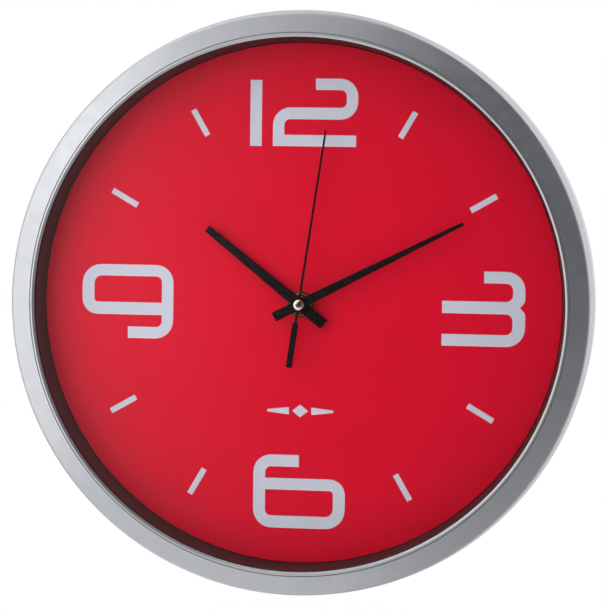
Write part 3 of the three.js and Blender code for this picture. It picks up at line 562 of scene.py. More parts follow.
# %% Zinc-plated steel
zinc_plate, tree = new_material("zinc_plated_steel")
spot = add_node(tree, "ShaderNodeTexCoord").outputs["Object"]
spangle = add_node(
    tree,
    "ShaderNodeTexVoronoi",
    {"Vector": spot, "Scale": per_metre(2.5)},
    feature="SMOOTH_F1",
)
grit = add_node(tree, "ShaderNodeTexNoise", {"Vector": spot, "Scale": per_metre(0.4), "Detail": 3})
tone = add_node(
    tree,
    "ShaderNodeMix",
    {"Factor": spangle.outputs[0], MIX_A: linear("#b4b8ba"), MIX_B: linear("#8f9395")},
    data_type="RGBA",
)
gloss = add_node(
    tree,
    "ShaderNodeMapRange",
    {"Value": spangle.outputs[0], "To Min": 0.28, "To Max": 0.46},
)
relief = add_node(tree, "ShaderNodeBump", {"Height": grit.outputs[0], "Distance": 0.003 * MM})
sockets = {"Base Color": tone.outputs[MIX_RESULT], "Metallic": 1.0}
sockets |= {"Roughness": gloss.outputs[0], "Normal": relief.outputs[0]}
finish_material(tree, sockets)
print(zinc_plate.name)

# %% [markdown]
# ### Inside the movement
# The coil is wound with enamelled copper wire: its turns, really a tenth of a millimetre apart, are
# drawn two millimetres apart so that they show. Each turn is a band that runs from dark to light
# copper, and the dark part is painted shade in the groove between turns. The circuit board has
# copper tracks under a green solder mask, drawn in broad, wavy bands. The cell wears a plain
# printed sleeve, blue with a pale band near the positive end.

# %% Copper winding
copper_wire, tree = new_material("enamelled_copper_wire")
spot = add_node(tree, "ShaderNodeTexCoord").outputs["Object"]
turns = add_node(
    tree,
    "ShaderNodeTexWave",
    {"Vector": spot, "Scale": bands_per_metre(2.073), "Distortion": 0.6, "Detail": 1},
    bands_direction="X",
)
# The dark copper at the low part of each band is painted shade in the groove between turns.
tone = add_node(
    tree,
    "ShaderNodeMix",
    {"Factor": turns.outputs[0], MIX_A: linear("#6b3217"), MIX_B: linear("#b8642f")},
    data_type="RGBA",
)
relief = add_node(tree, "ShaderNodeBump", {"Height": turns.outputs[0], "Distance": 0.05 * MM})
sockets = {"Base Color": tone.outputs[MIX_RESULT], "Normal": relief.outputs[0]}
finish_material(tree, {**sockets, "Metallic": 0.9, "Roughness": 0.3})
print(copper_wire.name)

# %% Circuit board
TRACK_EDGE_LOW, TRACK_EDGE_HIGH = 0.45, 0.55  # a narrow step in the wave makes a crisp edge

solder_mask, tree = new_material("green_solder_mask_board")
spot = add_node(tree, "ShaderNodeTexCoord").outputs["Object"]
tracks = add_node(
    tree,
    "ShaderNodeTexWave",
    {"Vector": spot, "Scale": bands_per_metre(12.57), "Distortion": 3, "Detail": 0},
    bands_direction="DIAGONAL",
)
edge = add_node(
    tree,
    "ShaderNodeMapRange",
    {"Value": tracks.outputs[0], "From Min": TRACK_EDGE_LOW, "From Max": TRACK_EDGE_HIGH},
)
tone = add_node(
    tree,
    "ShaderNodeMix",
    {"Factor": edge.outputs[0], MIX_A: linear("#12472a"), MIX_B: linear("#1f6b3c")},
    data_type="RGBA",
)
relief = add_node(tree, "ShaderNodeBump", {"Height": edge.outputs[0], "Distance": 0.03 * MM})
sockets = {"Base Color": tone.outputs[MIX_RESULT], "Normal": relief.outputs[0]}
finish_material(tree, {**sockets, "Roughness": 0.32, "IOR": 1.5})
print(solder_mask.name)

# %% The sleeve's bands, placed along the cell
BAND_START, BAND_WIDTH = 6.5, 9.0  # mm from the positive end
positive_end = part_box("battery_cell")[0].x

printed_sleeve, tree = new_material("printed_shrink_sleeve")
spot = add_node(tree, "ShaderNodeTexCoord").outputs["Object"]
split = add_node(tree, "ShaderNodeSeparateXYZ", {0: spot})
along = add_node(
    tree,
    "ShaderNodeMapRange",
    {"Value": split.outputs["X"], "From Min": positive_end, "From Max": positive_end + MM},
    clamp=False,
)
band = add_node(
    tree,
    "ShaderNodeMath",
    {0: along.outputs[0], 1: BAND_START + BAND_WIDTH / 2, 2: BAND_WIDTH / 2},
    operation="COMPARE",
)
ink = add_node(tree, "ShaderNodeTexNoise", {"Vector": spot, "Scale": per_metre(0.8), "Detail": 2})
blue = add_node(
    tree,
    "ShaderNodeMix",
    {"Factor": ink.outputs[0], MIX_A: linear("#1f4a80"), MIX_B: linear("#265792")},
    data_type="RGBA",
)
banded = add_node(
    tree,
    "ShaderNodeMix",
    {"Factor": band.outputs[0], MIX_A: blue.outputs[MIX_RESULT], MIX_B: linear("#c9cdd0")},
    data_type="RGBA",
)
relief = add_node(tree, "ShaderNodeBump", {"Height": ink.outputs[0], "Distance": 0.004 * MM})
sockets = {"Base Color": banded.outputs[MIX_RESULT], "Normal": relief.outputs[0]}
finish_material(tree, {**sockets, "Roughness": 0.25, "IOR": 1.5})
print(printed_sleeve.name)

# %% [markdown]
# ## Shape tools
# Nearly every piece here is either turned about an axis or cut from a flat plate. Both start from
# an outline in millimetres whose corners can be rounded. Real edges are never sharp, so there is
# also a tool that gives a shape small rounded edges, which catch the light.


# %% Rounded outlines
def rounded(corners, steps=6):
    """Points along a closed outline. A corner is (x, y), or (x, y, radius) to round it."""
    points = []
    for number, corner in enumerate(corners):
        here = Vector(corner[:2])
        radius = corner[2] if len(corner) > 2 else 0
        if not radius:
            points.append(here)
            continue
        back = (Vector(corners[number - 1][:2]) - here).normalized()
        on = (Vector(corners[(number + 1) % len(corners)][:2]) - here).normalized()
        half = back.angle(on) / 2
        middle = here + (back + on).normalized() * (radius / math.sin(half))
        start = (here + back * (radius / math.tan(half)) - middle).normalized()
        end = (here + on * (radius / math.tan(half)) - middle).normalized()
        points += [middle + start.slerp(end, i / steps) * radius for i in range(steps + 1)]
    return points


print(len(rounded([(0, 0, 1), (4, 0, 1), (4, 4, 1), (0, 4, 1)])), "points round a soft square")

# %% Turned pieces
ON_AXIS, SEAM_GAP = 1e-6, 1e-4  # mm: closer than this counts as on the axis, or as one point


def turned(profile, segments, centre=(0, 0)):
    """Spins a closed profile of (radius, height) points about an axis through centre (x, z)."""
    shape = bmesh.new()
    verts = [shape.verts.new((r, -h, 0)) for r, h in profile]
    edges = [shape.edges.new(pair) for pair in zip(verts, verts[1:] + verts[:1])]
    on_axis = [e for e in edges if all(abs(v.co.x) < ON_AXIS for v in e.verts)]
    bmesh.ops.delete(shape, geom=on_axis, context="EDGES")
    bmesh.ops.spin(
        shape,
        geom=shape.verts[:] + shape.edges[:],
        cent=(0, 0, 0),
        axis=(0, 1, 0),
        steps=segments,
        angle=2 * math.pi,
        use_merge=True,
    )
    bmesh.ops.remove_doubles(shape, verts=shape.verts, dist=SEAM_GAP)
    bmesh.ops.recalc_face_normals(shape, faces=shape.faces)
    bmesh.ops.translate(shape, verts=shape.verts, vec=(centre[0], 0, centre[1]))
    return shape


print(len(turned([(4, 0), (5, 0), (5, 1), (4, 1)], 12).faces), "faces in a ring of 12 steps")


# %% Flat pieces
def plate(outlines, back, thickness, degrees=0):
    """Fills outlines, the later ones being holes, and gives them a thickness towards the viewer."""
    shape = bmesh.new()
    for outline in outlines:
        verts = [shape.verts.new((x, -back, z)) for x, z in outline]
        for pair in zip(verts, verts[1:] + verts[:1]):
            shape.edges.new(pair)
    bmesh.ops.triangle_fill(shape, use_beauty=True, edges=shape.edges[:], normal=(0, -1, 0))
    raised = bmesh.ops.extrude_face_region(shape, geom=shape.faces[:])["geom"]
    front = [v for v in raised if isinstance(v, bmesh.types.BMVert)]
    bmesh.ops.translate(shape, verts=front, vec=(0, -thickness, 0))
    bmesh.ops.recalc_face_normals(shape, faces=shape.faces)
    shape.transform(Matrix.Rotation(math.radians(degrees), 4, "Y"))
    return shape


print(len(plate([[(0, 0), (1, 0), (1, 1), (0, 1)]], 0, 0.5).faces), "faces in a square plate")

# %% Rounded edges
SHARP, FLAT = math.radians(30), math.radians(0.5)  # an edge that turns more, or less, than this
SAME_POINT = 2e-3  # mm: points of a mesh that are closer than this are one


def soften(shape, width):
    """Makes flat faces whole and rounds the sharp edges of a shape. Returns the shape."""
    bmesh.ops.dissolve_limit(shape, angle_limit=FLAT, verts=shape.verts, edges=shape.edges)
    sharp = [e for e in shape.edges if e.is_manifold and e.calc_face_angle(0) > SHARP]
    bmesh.ops.bevel(
        shape,
        geom=sharp,
        offset=width,
        offset_type="OFFSET",
        segments=2,
        profile=0.5,
        affect="EDGES",
        clamp_overlap=False,
    )
    return shape


def refined(node, width):
    """A copy of a mechanical piece, as a shape with whole flat faces and rounded edges."""
    shape = bmesh.new()
    shape.from_mesh(nodes[node].data)
    shape.transform(TO_DRAWING)
    bmesh.ops.remove_doubles(shape, verts=shape.verts, dist=SAME_POINT)
    return soften(shape, width)


print(len(refined("hex_nut", 0.2).faces), "faces in the nut with rounded edges")

# %% From a shape to a piece
CREASE = math.radians(40)  # an edge that turns more than this is shaded as an edge


def add_piece(name, shape, material, body, stands_for=()):
    """Makes an object of a shape, gives it its finish and sets it on the body that moves it."""
    shape.transform(TO_MODEL)
    mesh = bpy.data.meshes.new(name)
    shape.to_mesh(mesh)
    shape.free()
    mesh.shade_smooth()
    mesh.set_sharp_from_angle(angle=CREASE)
    mesh.materials.append(material)
    piece = bpy.data.objects.new(name, mesh)
    bpy.context.scene.collection.objects.link(piece)
    piece.modifiers.new("flat_faces_look_flat", "WEIGHTED_NORMAL").keep_sharp = True
    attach(piece, body)
    if stands_for:
        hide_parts(*stands_for)
    print(f"{name}: {len(mesh.polygons)} faces on {body}")
    return piece


# %% [markdown]
# ## Bezel
# The ring has a raised lip over the glass, a fine groove, a sloping face and a side that flares
# towards the wall. A turned profile gives it a true circle and soft edges. Six hollow posts behind
# the face take the screws. They are joined to the ring so that it's one moulding.

# %% Bezel profile
bezel_low, bezel_high, _ = box_mm("bezel")
pane_low, pane_high, _ = box_mm("lens")
RIM, WALL, CREST = bezel_high.x, -bezel_high.y, -bezel_low.y
PANE, PANE_TOP, PANE_BOTTOM = pane_high.x, -pane_low.y, -pane_high.y
SKIRT, FACE_EDGE = RIM - 2.6, RIM - 1.8  # inside of the side wall, outer edge of the sloping face
GROOVE_OUT, GROOVE_IN, GROOVE_FLOOR = RIM - 11.8, RIM - 12.2, CREST - 1.0
LIP_IN, LIP_UNDER = RIM - 14.1, PANE_TOP + 0.05
POCKET, SEAT = PANE + 0.3, PANE_TOP - 2.6  # the recess that holds the pane

bezel_profile = rounded(
    [
        (RIM, WALL, 0.4),
        (RIM, CREST - 14.6, 6),
        (FACE_EDGE, CREST - 3.4, 0.8),
        (FACE_EDGE - 0.8, CREST - 2.9, 0.8),
        (GROOVE_OUT, CREST - 0.5, 0.12),
        (GROOVE_OUT, GROOVE_FLOOR),
        (GROOVE_IN, GROOVE_FLOOR),
        (GROOVE_IN, CREST - 0.25, 0.1),
        (GROOVE_IN - 0.85, CREST, 0.35),
        (LIP_IN, CREST - 0.6, 0.3),
        (LIP_IN, LIP_UNDER),
        (POCKET, LIP_UNDER),
        (POCKET, SEAT),
        (POCKET + 2.6, SEAT, 0.8),
        (SKIRT, CREST - 6.4, 2),
        (SKIRT, WALL, 0.4),
    ]
)
print(f"bezel {2 * RIM:.0f} mm across, lip crest {CREST:.1f} mm above the dial")


# %% Joining and cutting
def solid_copy(shape, name):
    """A throw-away object of a shape, for joining and cutting."""
    mesh = bpy.data.meshes.new(name)
    shape.to_mesh(mesh)
    shape.free()
    solid = bpy.data.objects.new(name, mesh)
    bpy.context.scene.collection.objects.link(solid)
    return solid


def combined(base, tool, operation):
    """The shape of base after a union with, or a cut by, tool. Both objects are used up."""
    step = base.modifiers.new("combine", "BOOLEAN")
    step.operation, step.object, step.solver = operation, tool, "EXACT"
    bpy.context.view_layer.update()
    result = bmesh.new()
    result.from_mesh(base.evaluated_get(bpy.context.evaluated_depsgraph_get()).data)
    bmesh.ops.dissolve_degenerate(result, dist=SAME_POINT, edges=result.edges)
    for used in (base, tool):
        bpy.data.objects.remove(used)
    return result


print("solids can be joined and cut")

# %% Bezel with its posts
POST, POST_BORE = 3.2, 1.75
POST_TOP, BORE_TOP, POST_FOOT = 15, 7.7, -0.55

post_profile = [(0, POST_TOP), (POST, POST_TOP), (POST, POST_FOOT)]
post_profile += [(POST_BORE, POST_FOOT), (POST_BORE, BORE_TOP), (0, BORE_TOP)]
posts = bmesh.new()
for i in range(1, 7):
    middle = box_mm(f"bezel_screw_{i}")[2]
    one_post = bpy.data.meshes.new("post")
    turned(post_profile, 24, (middle.x, middle.z)).to_mesh(one_post)
    posts.from_mesh(one_post)
ring = solid_copy(turned(bezel_profile, 240), "ring")
shape = combined(ring, solid_copy(posts, "posts"), "UNION")
add_piece("silver_bezel", shape, silver_lacquer, "case", ["bezel"])

# %% [markdown]
# ## Glass
# The pane is a plain disc that lies under the lip, with its edge ground to a small chamfer.

# %% Pane
pane_profile = rounded(
    [(0, PANE_TOP), (PANE, PANE_TOP, 0.3), (PANE, PANE_BOTTOM, 0.3), (0, PANE_BOTTOM)], steps=3
)
shape = turned(pane_profile, 240)
pane = add_piece("glass_pane", shape, float_glass, "case", ["lens"])
pane.visible_shadow = False

# %% [markdown]
# ## Case
# The case is one black moulding: a floor with ribs behind it, and a steep wall that ends under the
# glass. The mechanical piece has the right shape, so a copy with rounded edges stands for it.

# %% Black case
add_piece("black_case", refined("case_shell", 0.25), black_abs, "case", ["case_shell"])

# %% [markdown]
# ## Dial
# The numerals are drawn as outlines with rounded corners, as a type designer would draw them: one
# heavy, square-shouldered stroke that turns back on itself. They are printed, so each one is a very
# thin raised layer. Eight bars mark the other hours.


# %% Outlines of print
PRINT = 0.05  # thickness of the ink, in mm
STROKE_END = 0.15  # radius of the corners at the ends of a stroke, in mm


def glyph(corners):
    """A printed outline. The corners that come without a radius are ends of a stroke."""
    return rounded([corner if len(corner) > 2 else (*corner, STROKE_END) for corner in corners])


print(len(glyph([(0, 0), (6, 0), (6, 30), (0, 30)])), "points round a plain stroke")

# %% Twelve
one = [(-27.7, 81.1), (-21.7, 81.1), (-21.7, 114.8), (-27.7, 114.8)]
two = [
    (6.0, 115.8),
    (27.8, 115.8, 9),
    (27.8, 95.0, 9),
    (-10.0, 95.0, 3),
    (-10.0, 87.0),
    (27.0, 87.0),
    (27.0, 81.2),
    (-15.9, 81.2),
    (-15.9, 101.0, 9),
    (22.0, 101.0, 3),
    (22.0, 110.0, 3),
    (6.0, 110.0),
]
print(len(glyph(two)), "points round the two")

# %% Three
three = [
    (93.5, 19.0),
    (114.5, 19.0, 9.5),
    (114.5, 3.6, 4),
    (111.9, 0.8, 0.3),
    (114.6, -2.2, 4),
    (114.6, -19.2, 9.5),
    (72.3, -19.2),
    (72.3, -13.2),
    (108.2, -13.2, 3.5),
    (108.2, -2.6, 3.5),
    (72.3, -2.6),
    (72.3, 3.7),
    (108.3, 3.7, 3.5),
    (108.3, 13.0, 3.5),
    (93.5, 13.0),
]
print(len(glyph(three)), "points round the three")

# %% Six and nine, each with its window
six = [
    (-0.3, -77.6),
    (-0.3, -83.7),
    (-17.8, -83.7, 3),
    (-17.8, -89.7),
    (23.8, -89.7, 8),
    (23.8, -115.5, 10),
    (-23.9, -115.5, 9.5),
    (-23.9, -77.6, 9),
]
six_window = [(-17.7, -95.7), (17.6, -95.7, 2), (17.6, -109.2, 4), (-17.7, -109.2, 3)]
nine = [
    (-114.8, 19.0, 10),
    (-66.9, 19.0, 9),
    (-66.9, -19.1, 9.5),
    (-90.7, -19.1),
    (-90.7, -13.1),
    (-72.9, -13.1, 3),
    (-72.9, -6.9),
    (-114.8, -6.9, 8),
]
nine_window = [(-108.5, -0.5, 2), (-72.9, -0.5), (-72.9, 13.1, 3), (-108.5, 13.1, 4)]
print(len(glyph(nine)), "points round the nine")

# %% Print the numerals
PRINT_OFF_CENTRE = (0.45, 0, -0.4)
numerals = {
    "numeral_12": [one, two],
    "numeral_3": [three],
    "numeral_6": [six, six_window],
    "numeral_9": [nine, nine_window],
}


def printed(name, shape):
    """Ink on the dial. The print sits a little off centre, to the right and low, as prints do."""
    bmesh.ops.translate(shape, verts=shape.verts, vec=PRINT_OFF_CENTRE)
    return add_piece(name, shape, pale_ink, "case")


for name, outlines in numerals.items():
    printed(name, plate([glyph(outline) for outline in outlines], 0, PRINT))

# %% Hour marks
MARK_CIRCLE, MARK_LENGTH, MARK_WIDTH = 107.0, 15.1, 2.95

w, near, far = MARK_WIDTH / 2, MARK_CIRCLE - MARK_LENGTH / 2, MARK_CIRCLE + MARK_LENGTH / 2
mark = glyph([(-w, near), (w, near), (w, far), (-w, far)])
for hour in (1, 2, 4, 5, 7, 8, 10, 11):
    printed(f"hour_mark_{hour}", plate([mark], 0, PRINT, hour * 30))

# %% [markdown]
# Below the centre the dial carries a small printed ornament: a lozenge between two tapering bars.

# %% Ornament
ORNAMENT_Z, ORNAMENT_REACH = -54.7, 17.2

lozenge = [(0, -3.3), (4.2, 0), (0, 3.3), (-4.2, 0)]
bar = [(5.8, 1.9), (5.8, -1.9), (ORNAMENT_REACH, -0.6), (ORNAMENT_REACH, 0.6)]
outlines = [lozenge, bar, [(-x, z) for x, z in bar]]
lowered = [[(x, z + ORNAMENT_Z) for x, z in outline] for outline in outlines]
printed("dial_ornament", plate(lowered, 0, PRINT))

# %% [markdown]
# ## Centre fittings
# A brass washer and a hexagon nut hold the movement to the dial. The threaded bushing stands up
# through the nut. The washer and the nut keep the mechanical shape with rounded edges. The bushing
# gets the crests and roots of its thread, as rings, which look the same from outside.

# %% Washer and nut
shape = refined("brass_washer", 0.12)
add_piece("turned_washer", shape, turned_brass, "case", ["brass_washer"])
add_piece("hexagon_nut", refined("hex_nut", 0.22), turned_brass, "case", ["hex_nut"])

# %% Bushing
bush_low, bush_high, _ = box_mm("threaded_bushing")
BUSH, BUSH_TOP, BUSH_FOOT = bush_high.x, -bush_low.y, -bush_high.y
BUSH_BORE, BORE_CHAMFER = 2.75, 0.2
PITCH, THREAD_DEPTH, FIRST_CREST, LEAD_IN = 0.75, 0.35, 0.5, 0.45
crests = []
level = BUSH_TOP - FIRST_CREST
while level > BUSH_FOOT + PITCH:
    crests += [(BUSH, level), (BUSH - THREAD_DEPTH, level - PITCH / 2)]
    level -= PITCH
bush_profile = [(BUSH_BORE, BUSH_TOP - BORE_CHAMFER), (BUSH_BORE + BORE_CHAMFER, BUSH_TOP)]
bush_profile += [(BUSH - LEAD_IN, BUSH_TOP)] + crests
bush_profile += [(BUSH, level), (BUSH, BUSH_FOOT), (BUSH_BORE, BUSH_FOOT)]
shape = turned(bush_profile, 48)
add_piece("screwed_bushing", shape, turned_brass, "case", ["threaded_bushing"])

# %% [markdown]
# ## Hands
# The hands are stamped from thin sheet and enamelled. Each is one outline: a slowly tapering bar, a
# round boss that is pressed onto its shaft, and a short counterweight. Their edges are rolled a
# little by the stamping. Each one points where its mechanical twin points.


# %% Where a hand points
TIP_DEPTH = 0.5  # mm: the part of a hand that counts as its tip


def bearing_of(node):
    """The clockwise angle from twelve of the middle of a hand's tip, in degrees."""
    points = [TO_DRAWING @ v.co for v in nodes[node].data.vertices]
    reach = max(point.length for point in points)
    tip = [point for point in points if point.length > reach - TIP_DEPTH]
    turns = [math.degrees(math.atan2(point.x, point.z)) % 360 for point in tip]
    return (min(turns) + max(turns)) / 2


print({n: round(bearing_of(n), 1) for n in ("hour_hand", "minute_hand", "second_hand")})

# %% Outline of a hand
BOSS_STEPS = 16


def hand_outline(boss, right_side):
    """A hand pointing at twelve from its right side, from tip to tail, with an arc for the boss."""
    above = [p for p in right_side if p[1] > 0]
    below = [p for p in right_side if p[1] < 0]
    first = math.asin(above[-1][0] / boss)
    last = math.pi - math.asin(below[0][0] / boss)
    arc = [first + (last - first) * i / BOSS_STEPS for i in range(BOSS_STEPS + 1)]
    right = above[:-1] + [(boss * math.sin(a), boss * math.cos(a)) for a in arc] + below[1:]
    return right + [(-x, z) for x, z in reversed(right)]


def circle(radius, steps):
    """Points round a circle, clockwise as the clock is read."""
    angles = [2 * math.pi * i / steps for i in range(steps)]
    return [Vector((radius * math.sin(a), radius * math.cos(a))) for a in angles]


print(len(circle(1, 24)), "points round the bore of a hand")

# %% Hands
HAND_THICKNESS, ROLLED_EDGE = 0.5, 0.1
second_side = [(0.5, 90), (0.65, 1), (0.65, -1), (0.65, -9), (1.6, -9.8), (1.6, -32.5)]
hands = {  # radius of the boss, radius of its bore, right side from tip to tail
    "hour": (3.8, 2.6, [(1.85, 61.7), (2.75, 1), (2.85, -1), (2.9, -16.2)]),
    "minute": (3.0, 1.85, [(0.95, 93.7), (2.45, 1), (2.5, -1), (2.55, -14.6)]),
    "second": (2.4, 0.65, second_side),
}
for body, (boss, bore, right_side) in hands.items():
    node = f"{body}_hand"
    back = -box_mm(node)[1].y
    outline = hand_outline(boss, right_side)
    shape = plate([outline, circle(bore, 24)], back, HAND_THICKNESS, bearing_of(node))
    soften(shape, ROLLED_EDGE)
    add_piece(f"stamped_{node}", shape, black_enamel, body, [node])

# %% [markdown]
# ## Cap
# A small bright dome closes the centre. Being a mirror, it shows the softbox as a crescent.

# %% Centre cap
cap_low, cap_high, _ = box_mm("centre_cap")
CAP, CAP_TOP, CAP_FOOT, CAP_EDGE = cap_high.x, -cap_low.y, -cap_high.y, 0.25
CAP_RISE, CAP_STEPS = CAP_TOP - CAP_FOOT - CAP_EDGE, 16
dome = [(0, CAP_TOP)]
for i in range(1, CAP_STEPS + 1):
    a = math.radians(90 - i * 90 / CAP_STEPS)
    dome.append((CAP * math.cos(a), CAP_FOOT + CAP_EDGE + CAP_RISE * math.sin(a)))
dome += [(CAP, CAP_FOOT), (0, CAP_FOOT)]
add_piece("nickel_cap", turned(dome, 64), bright_nickel, "second", ["centre_cap"])

# %% [markdown]
# ## Screws
# Eight pan-head screws hold the case and the hanger. The head and the thread are turned, and a
# cross recess is cut into the head with two tapered blades. All screws share one shape, made once.
# Each one has stopped at an angle of its own, as driven screws do.

# %% Turned head and thread
SHANK, HEAD, HEAD_HEIGHT, SCREW_LENGTH = 1.45, 2.8, 1.8, 10.0
HEAD_FLAT, HEAD_DOME, HEAD_STEPS = 0.35, 1.1, 7  # flat share of the head, height of its curve
THREAD_ROOT, THREAD_START, THREAD_TURNS = 0.75, 0.6, 8  # a share of SHANK, mm, turns 1 mm apart

root = SHANK * THREAD_ROOT
screw_profile = [(0, 0), (HEAD * HEAD_FLAT, 0)]
for i in range(1, HEAD_STEPS + 1):
    a = math.radians(90 * i / HEAD_STEPS)
    spread = HEAD_FLAT + (1 - HEAD_FLAT) * math.sin(a)
    screw_profile.append((HEAD * spread, HEAD_DOME * (1 - math.cos(a))))
screw_profile += [(HEAD, HEAD_HEIGHT), (SHANK, HEAD_HEIGHT)]
for turn_number in range(THREAD_TURNS):
    level = HEAD_HEIGHT + THREAD_START + turn_number
    screw_profile += [(root, level), (SHANK, level + 0.5)]
screw_profile += [(root, HEAD_HEIGHT + THREAD_START + THREAD_TURNS)]
screw_profile += [(0, HEAD_HEIGHT + SCREW_LENGTH)]
screw_shape = turned(screw_profile, 32)
print(f"turned screw: {len(screw_shape.faces)} faces")

# %% Cross recess
RECESS_LENGTH, RECESS_WIDTH, RECESS_DEPTH = 3.6, 0.95, 1.1
BLADE_TAPER, BLADE_ABOVE = 0.4, 0.5  # share of its size at the bottom, mm outside the head

for degrees in (0, 90):
    blade = bmesh.new()
    bmesh.ops.create_cube(blade, size=1)
    for v in blade.verts:
        inside = v.co.y < 0
        taper = BLADE_TAPER if inside else 1
        y = -RECESS_DEPTH if inside else BLADE_ABOVE
        v.co = Vector((v.co.x * RECESS_LENGTH * taper, y, v.co.z * RECESS_WIDTH * taper))
    blade.transform(Matrix.Rotation(math.radians(degrees), 4, "Y"))
    screw = solid_copy(screw_shape, "screw")
    screw_shape = combined(screw, solid_copy(blade, "blade"), "DIFFERENCE")
print(f"screw: {len(screw_shape.faces)} faces")

# %% Screws in their places
random.seed(12)
screw_names = [f"bezel_screw_{i}" for i in range(1, 7)] + ["hanger_screw_1", "hanger_screw_2"]
for node in screw_names:
    _, high, middle = box_mm(node)
    place = Vector((middle.x, high.y, middle.z))
    stopped_at = Matrix.Rotation(math.radians(random.uniform(0, 90)), 4, "Y")
    shape = screw_shape.copy()
    shape.transform(Matrix.Translation(place) @ stopped_at)
    add_piece(f"pan_head_{node}", shape, zinc_plate, "case", [node])
screw_shape.free()

# %% [markdown]
# ## The back
# Behind the dial are the steel hanger, the rubber washer and the movement's housing with its lid
# and setting knob. Their mechanical shapes are right. Copies with rounded edges stand for them, and
# the lid gets the small raised signs that such mouldings carry: a plus and a minus over the cell's
# ends, and an arrow round the knob.

# %% Hanger, washer, housing, lid and knob
shape = refined("hanger_plate", 0.2)
add_piece("pressed_hanger", shape, zinc_plate, "case", ["hanger_plate"])
shape = refined("rubber_washer", 0.15)
add_piece("soft_washer", shape, nitrile_rubber, "case", ["rubber_washer"])
shape = refined("movement_housing", 0.2)
add_piece("housing_tray", shape, grey_abs, "case", ["movement_housing"])
shape = refined("movement_lid", 0.2)
add_piece("housing_lid", shape, grey_abs, "case", ["movement_lid"])
shape = refined("setting_knob", 0.12)
add_piece("fluted_knob", shape, grey_abs, "setting", ["setting_knob"])

# %% Plus and minus on the lid
SIGN_RELIEF, SIGN_ROOT, SIGN_EDGE = 0.25, 0.05, 0.06  # mm it stands out, is sunk, is rounded
lid_low, lid_high, _ = box_mm("movement_lid")
sign_back = -lid_high.y - SIGN_RELIEF
sign_x, sign_z = lid_high.x - 5, lid_low.z + 3.4

thick, arm = 0.4, 1.7
plus = [(-thick, -arm), (thick, -arm), (thick, -thick), (arm, -thick)]
plus += [(arm, thick), (thick, thick), (thick, arm), (-thick, arm)]
plus += [(-thick, thick), (-arm, thick), (-arm, -thick), (-thick, -thick)]
minus = [(-arm, -thick), (arm, -thick), (arm, thick), (-arm, thick)]
for name, sign, side in (("plus_sign", plus, -1), ("minus_sign", minus, 1)):
    outline = [(x + side * sign_x, z + sign_z) for x, z in sign]
    shape = plate([outline], sign_back, SIGN_RELIEF + SIGN_ROOT)
    add_piece(name, soften(shape, SIGN_EDGE), grey_abs, "case")

# %% Arrow round the knob
ARROW_RADIUS, ARROW_BAND, ARROW_HEAD = 9.2, 0.35, 1.2
ARROW_START, ARROW_SWEEP, ARROW_TIP, ARROW_STEPS = 200, 60, 272, 12  # degrees, clockwise from up

knob = box_mm("setting_knob")[2]
sweep = [
    math.radians(ARROW_START + ARROW_SWEEP * i / ARROW_STEPS) for i in range(ARROW_STEPS + 1)
]


def on_arc(radius, angle):
    """A point round the knob."""
    return (knob.x + radius * math.sin(angle), knob.z + radius * math.cos(angle))


arrow = [on_arc(ARROW_RADIUS + ARROW_BAND, a) for a in sweep]
arrow += [on_arc(ARROW_RADIUS + ARROW_HEAD, sweep[-1])]
arrow += [on_arc(ARROW_RADIUS, math.radians(ARROW_TIP))]
arrow += [on_arc(ARROW_RADIUS - ARROW_HEAD, sweep[-1])]
arrow += [on_arc(ARROW_RADIUS - ARROW_BAND, a) for a in reversed(sweep)]
shape = plate([arrow], sign_back, SIGN_RELIEF + SIGN_ROOT)
add_piece("setting_arrow", soften(shape, SIGN_EDGE), grey_abs, "case")

# %% [markdown]
# ## Battery
# The cell lies across the clock, so it is turned about the clock's axis first and then laid on its
# side. The sleeve is rolled over both ends, where the bare metal shows.

# %% Cell
_, cell_high, cell_middle = box_mm("battery_cell")
terminal_low, terminal_high, terminal_middle = box_mm("battery_terminal")
CELL, CELL_HALF = cell_high.z - cell_middle.z, cell_high.x - cell_middle.x
BARE = CELL - 1.3  # radius of the bare metal at each end
TERMINAL = terminal_high.z - terminal_middle.z
TERMINAL_TOP = cell_middle.x - CELL_HALF - terminal_low.x
lay_down = Matrix.Translation(cell_middle) @ Matrix.Rotation(math.radians(-90), 4, "Z")

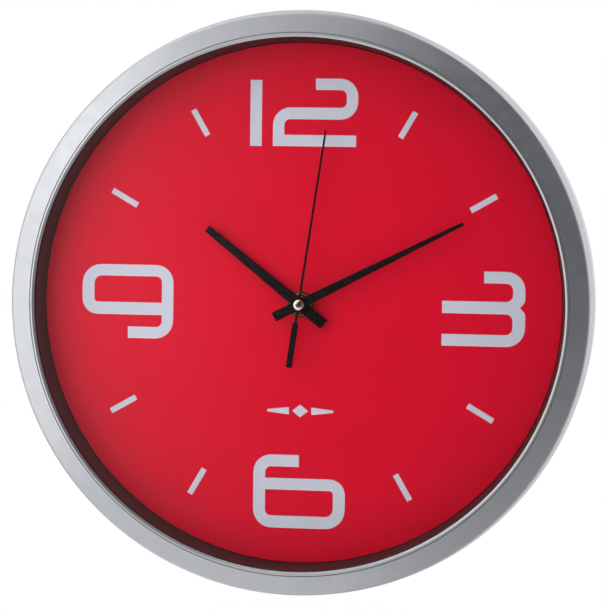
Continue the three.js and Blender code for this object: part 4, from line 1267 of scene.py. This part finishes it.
cell_profile = rounded(
    [
        (0, CELL_HALF - 0.35),
        (BARE, CELL_HALF - 0.35),
        (BARE + 0.3, CELL_HALF, 0.15),
        (CELL, CELL_HALF, 0.8),
        (CELL, -CELL_HALF, 0.8),
        (BARE + 0.3, -CELL_HALF, 0.15),
        (BARE, -CELL_HALF + 0.3),
        (0, -CELL_HALF + 0.3),
    ],
    steps=4,
)
shape = turned(cell_profile, 64)
shape.transform(lay_down)
cell = add_piece(
    "battery_in_sleeve", shape, printed_sleeve, "battery", ["battery_cell"]
)
cell.data.materials.append(bright_nickel)
for face in cell.data.polygons:
    out = TO_DRAWING @ face.center - cell_middle
    if math.hypot(out.y, out.z) < BARE + 0.1:
        face.material_index = 1

# %% Positive nub
nub = rounded([(0, TERMINAL_TOP), (TERMINAL, TERMINAL_TOP, 0.35), (TERMINAL, 0), (0, 0)], steps=4)
shape = turned([(r, h + CELL_HALF) for r, h in nub], 48)
shape.transform(lay_down)
add_piece("positive_nub", shape, bright_nickel, "battery", ["battery_terminal"])

# %% [markdown]
# ## The rest of the movement
# The wheels, the coil and the board keep their mechanical shapes and take their real materials.
# Silicon steel is rolled: grey, with a soft metallic sheen. The second hand's pin is drawn steel.

# %% Finishes of the mechanical pieces that stay
silicon_steel = grained(
    "rolled_silicon_steel", "#6f7274", "#888b8d", 0.6, (0.34, 0.5), 0.003, Metallic=1.0
)
drawn_steel = grained(
    "drawn_steel_pin", "#9a9c9e", "#b2b4b6", 0.3, (0.2, 0.3), 0.002, Metallic=1.0
)
wheels = ["hour_wheel", "centre_wheel", "second_wheel", "third_wheel", "intermediate_wheel"]
wheels += ["rotor_pinion", "minute_work_wheel", "setting_pinion", "train_bridge"]
finishes = [
    (acetal, wheels),
    (silicon_steel, ["stator", "coil_core"]),
    (drawn_steel, ["second_arbor"]),
    (turned_brass, ["minute_arbor"]),
    (black_abs, ["coil_bobbin", "chip_cover"]),
    (copper_wire, ["coil_winding"]),
    (solder_mask, ["circuit_board"]),
    (bright_nickel, ["crystal_can", "contact_positive", "contact_negative"]),
    (ferrite, ["rotor_magnet"]),
    (red_print, ["dial"]),
]
for material, names in finishes:
    for node in names:
        nodes[node].data.materials.clear()
        nodes[node].data.materials.append(material)
print(sum(len(names) for _, names in finishes), "mechanical pieces keep their shape")
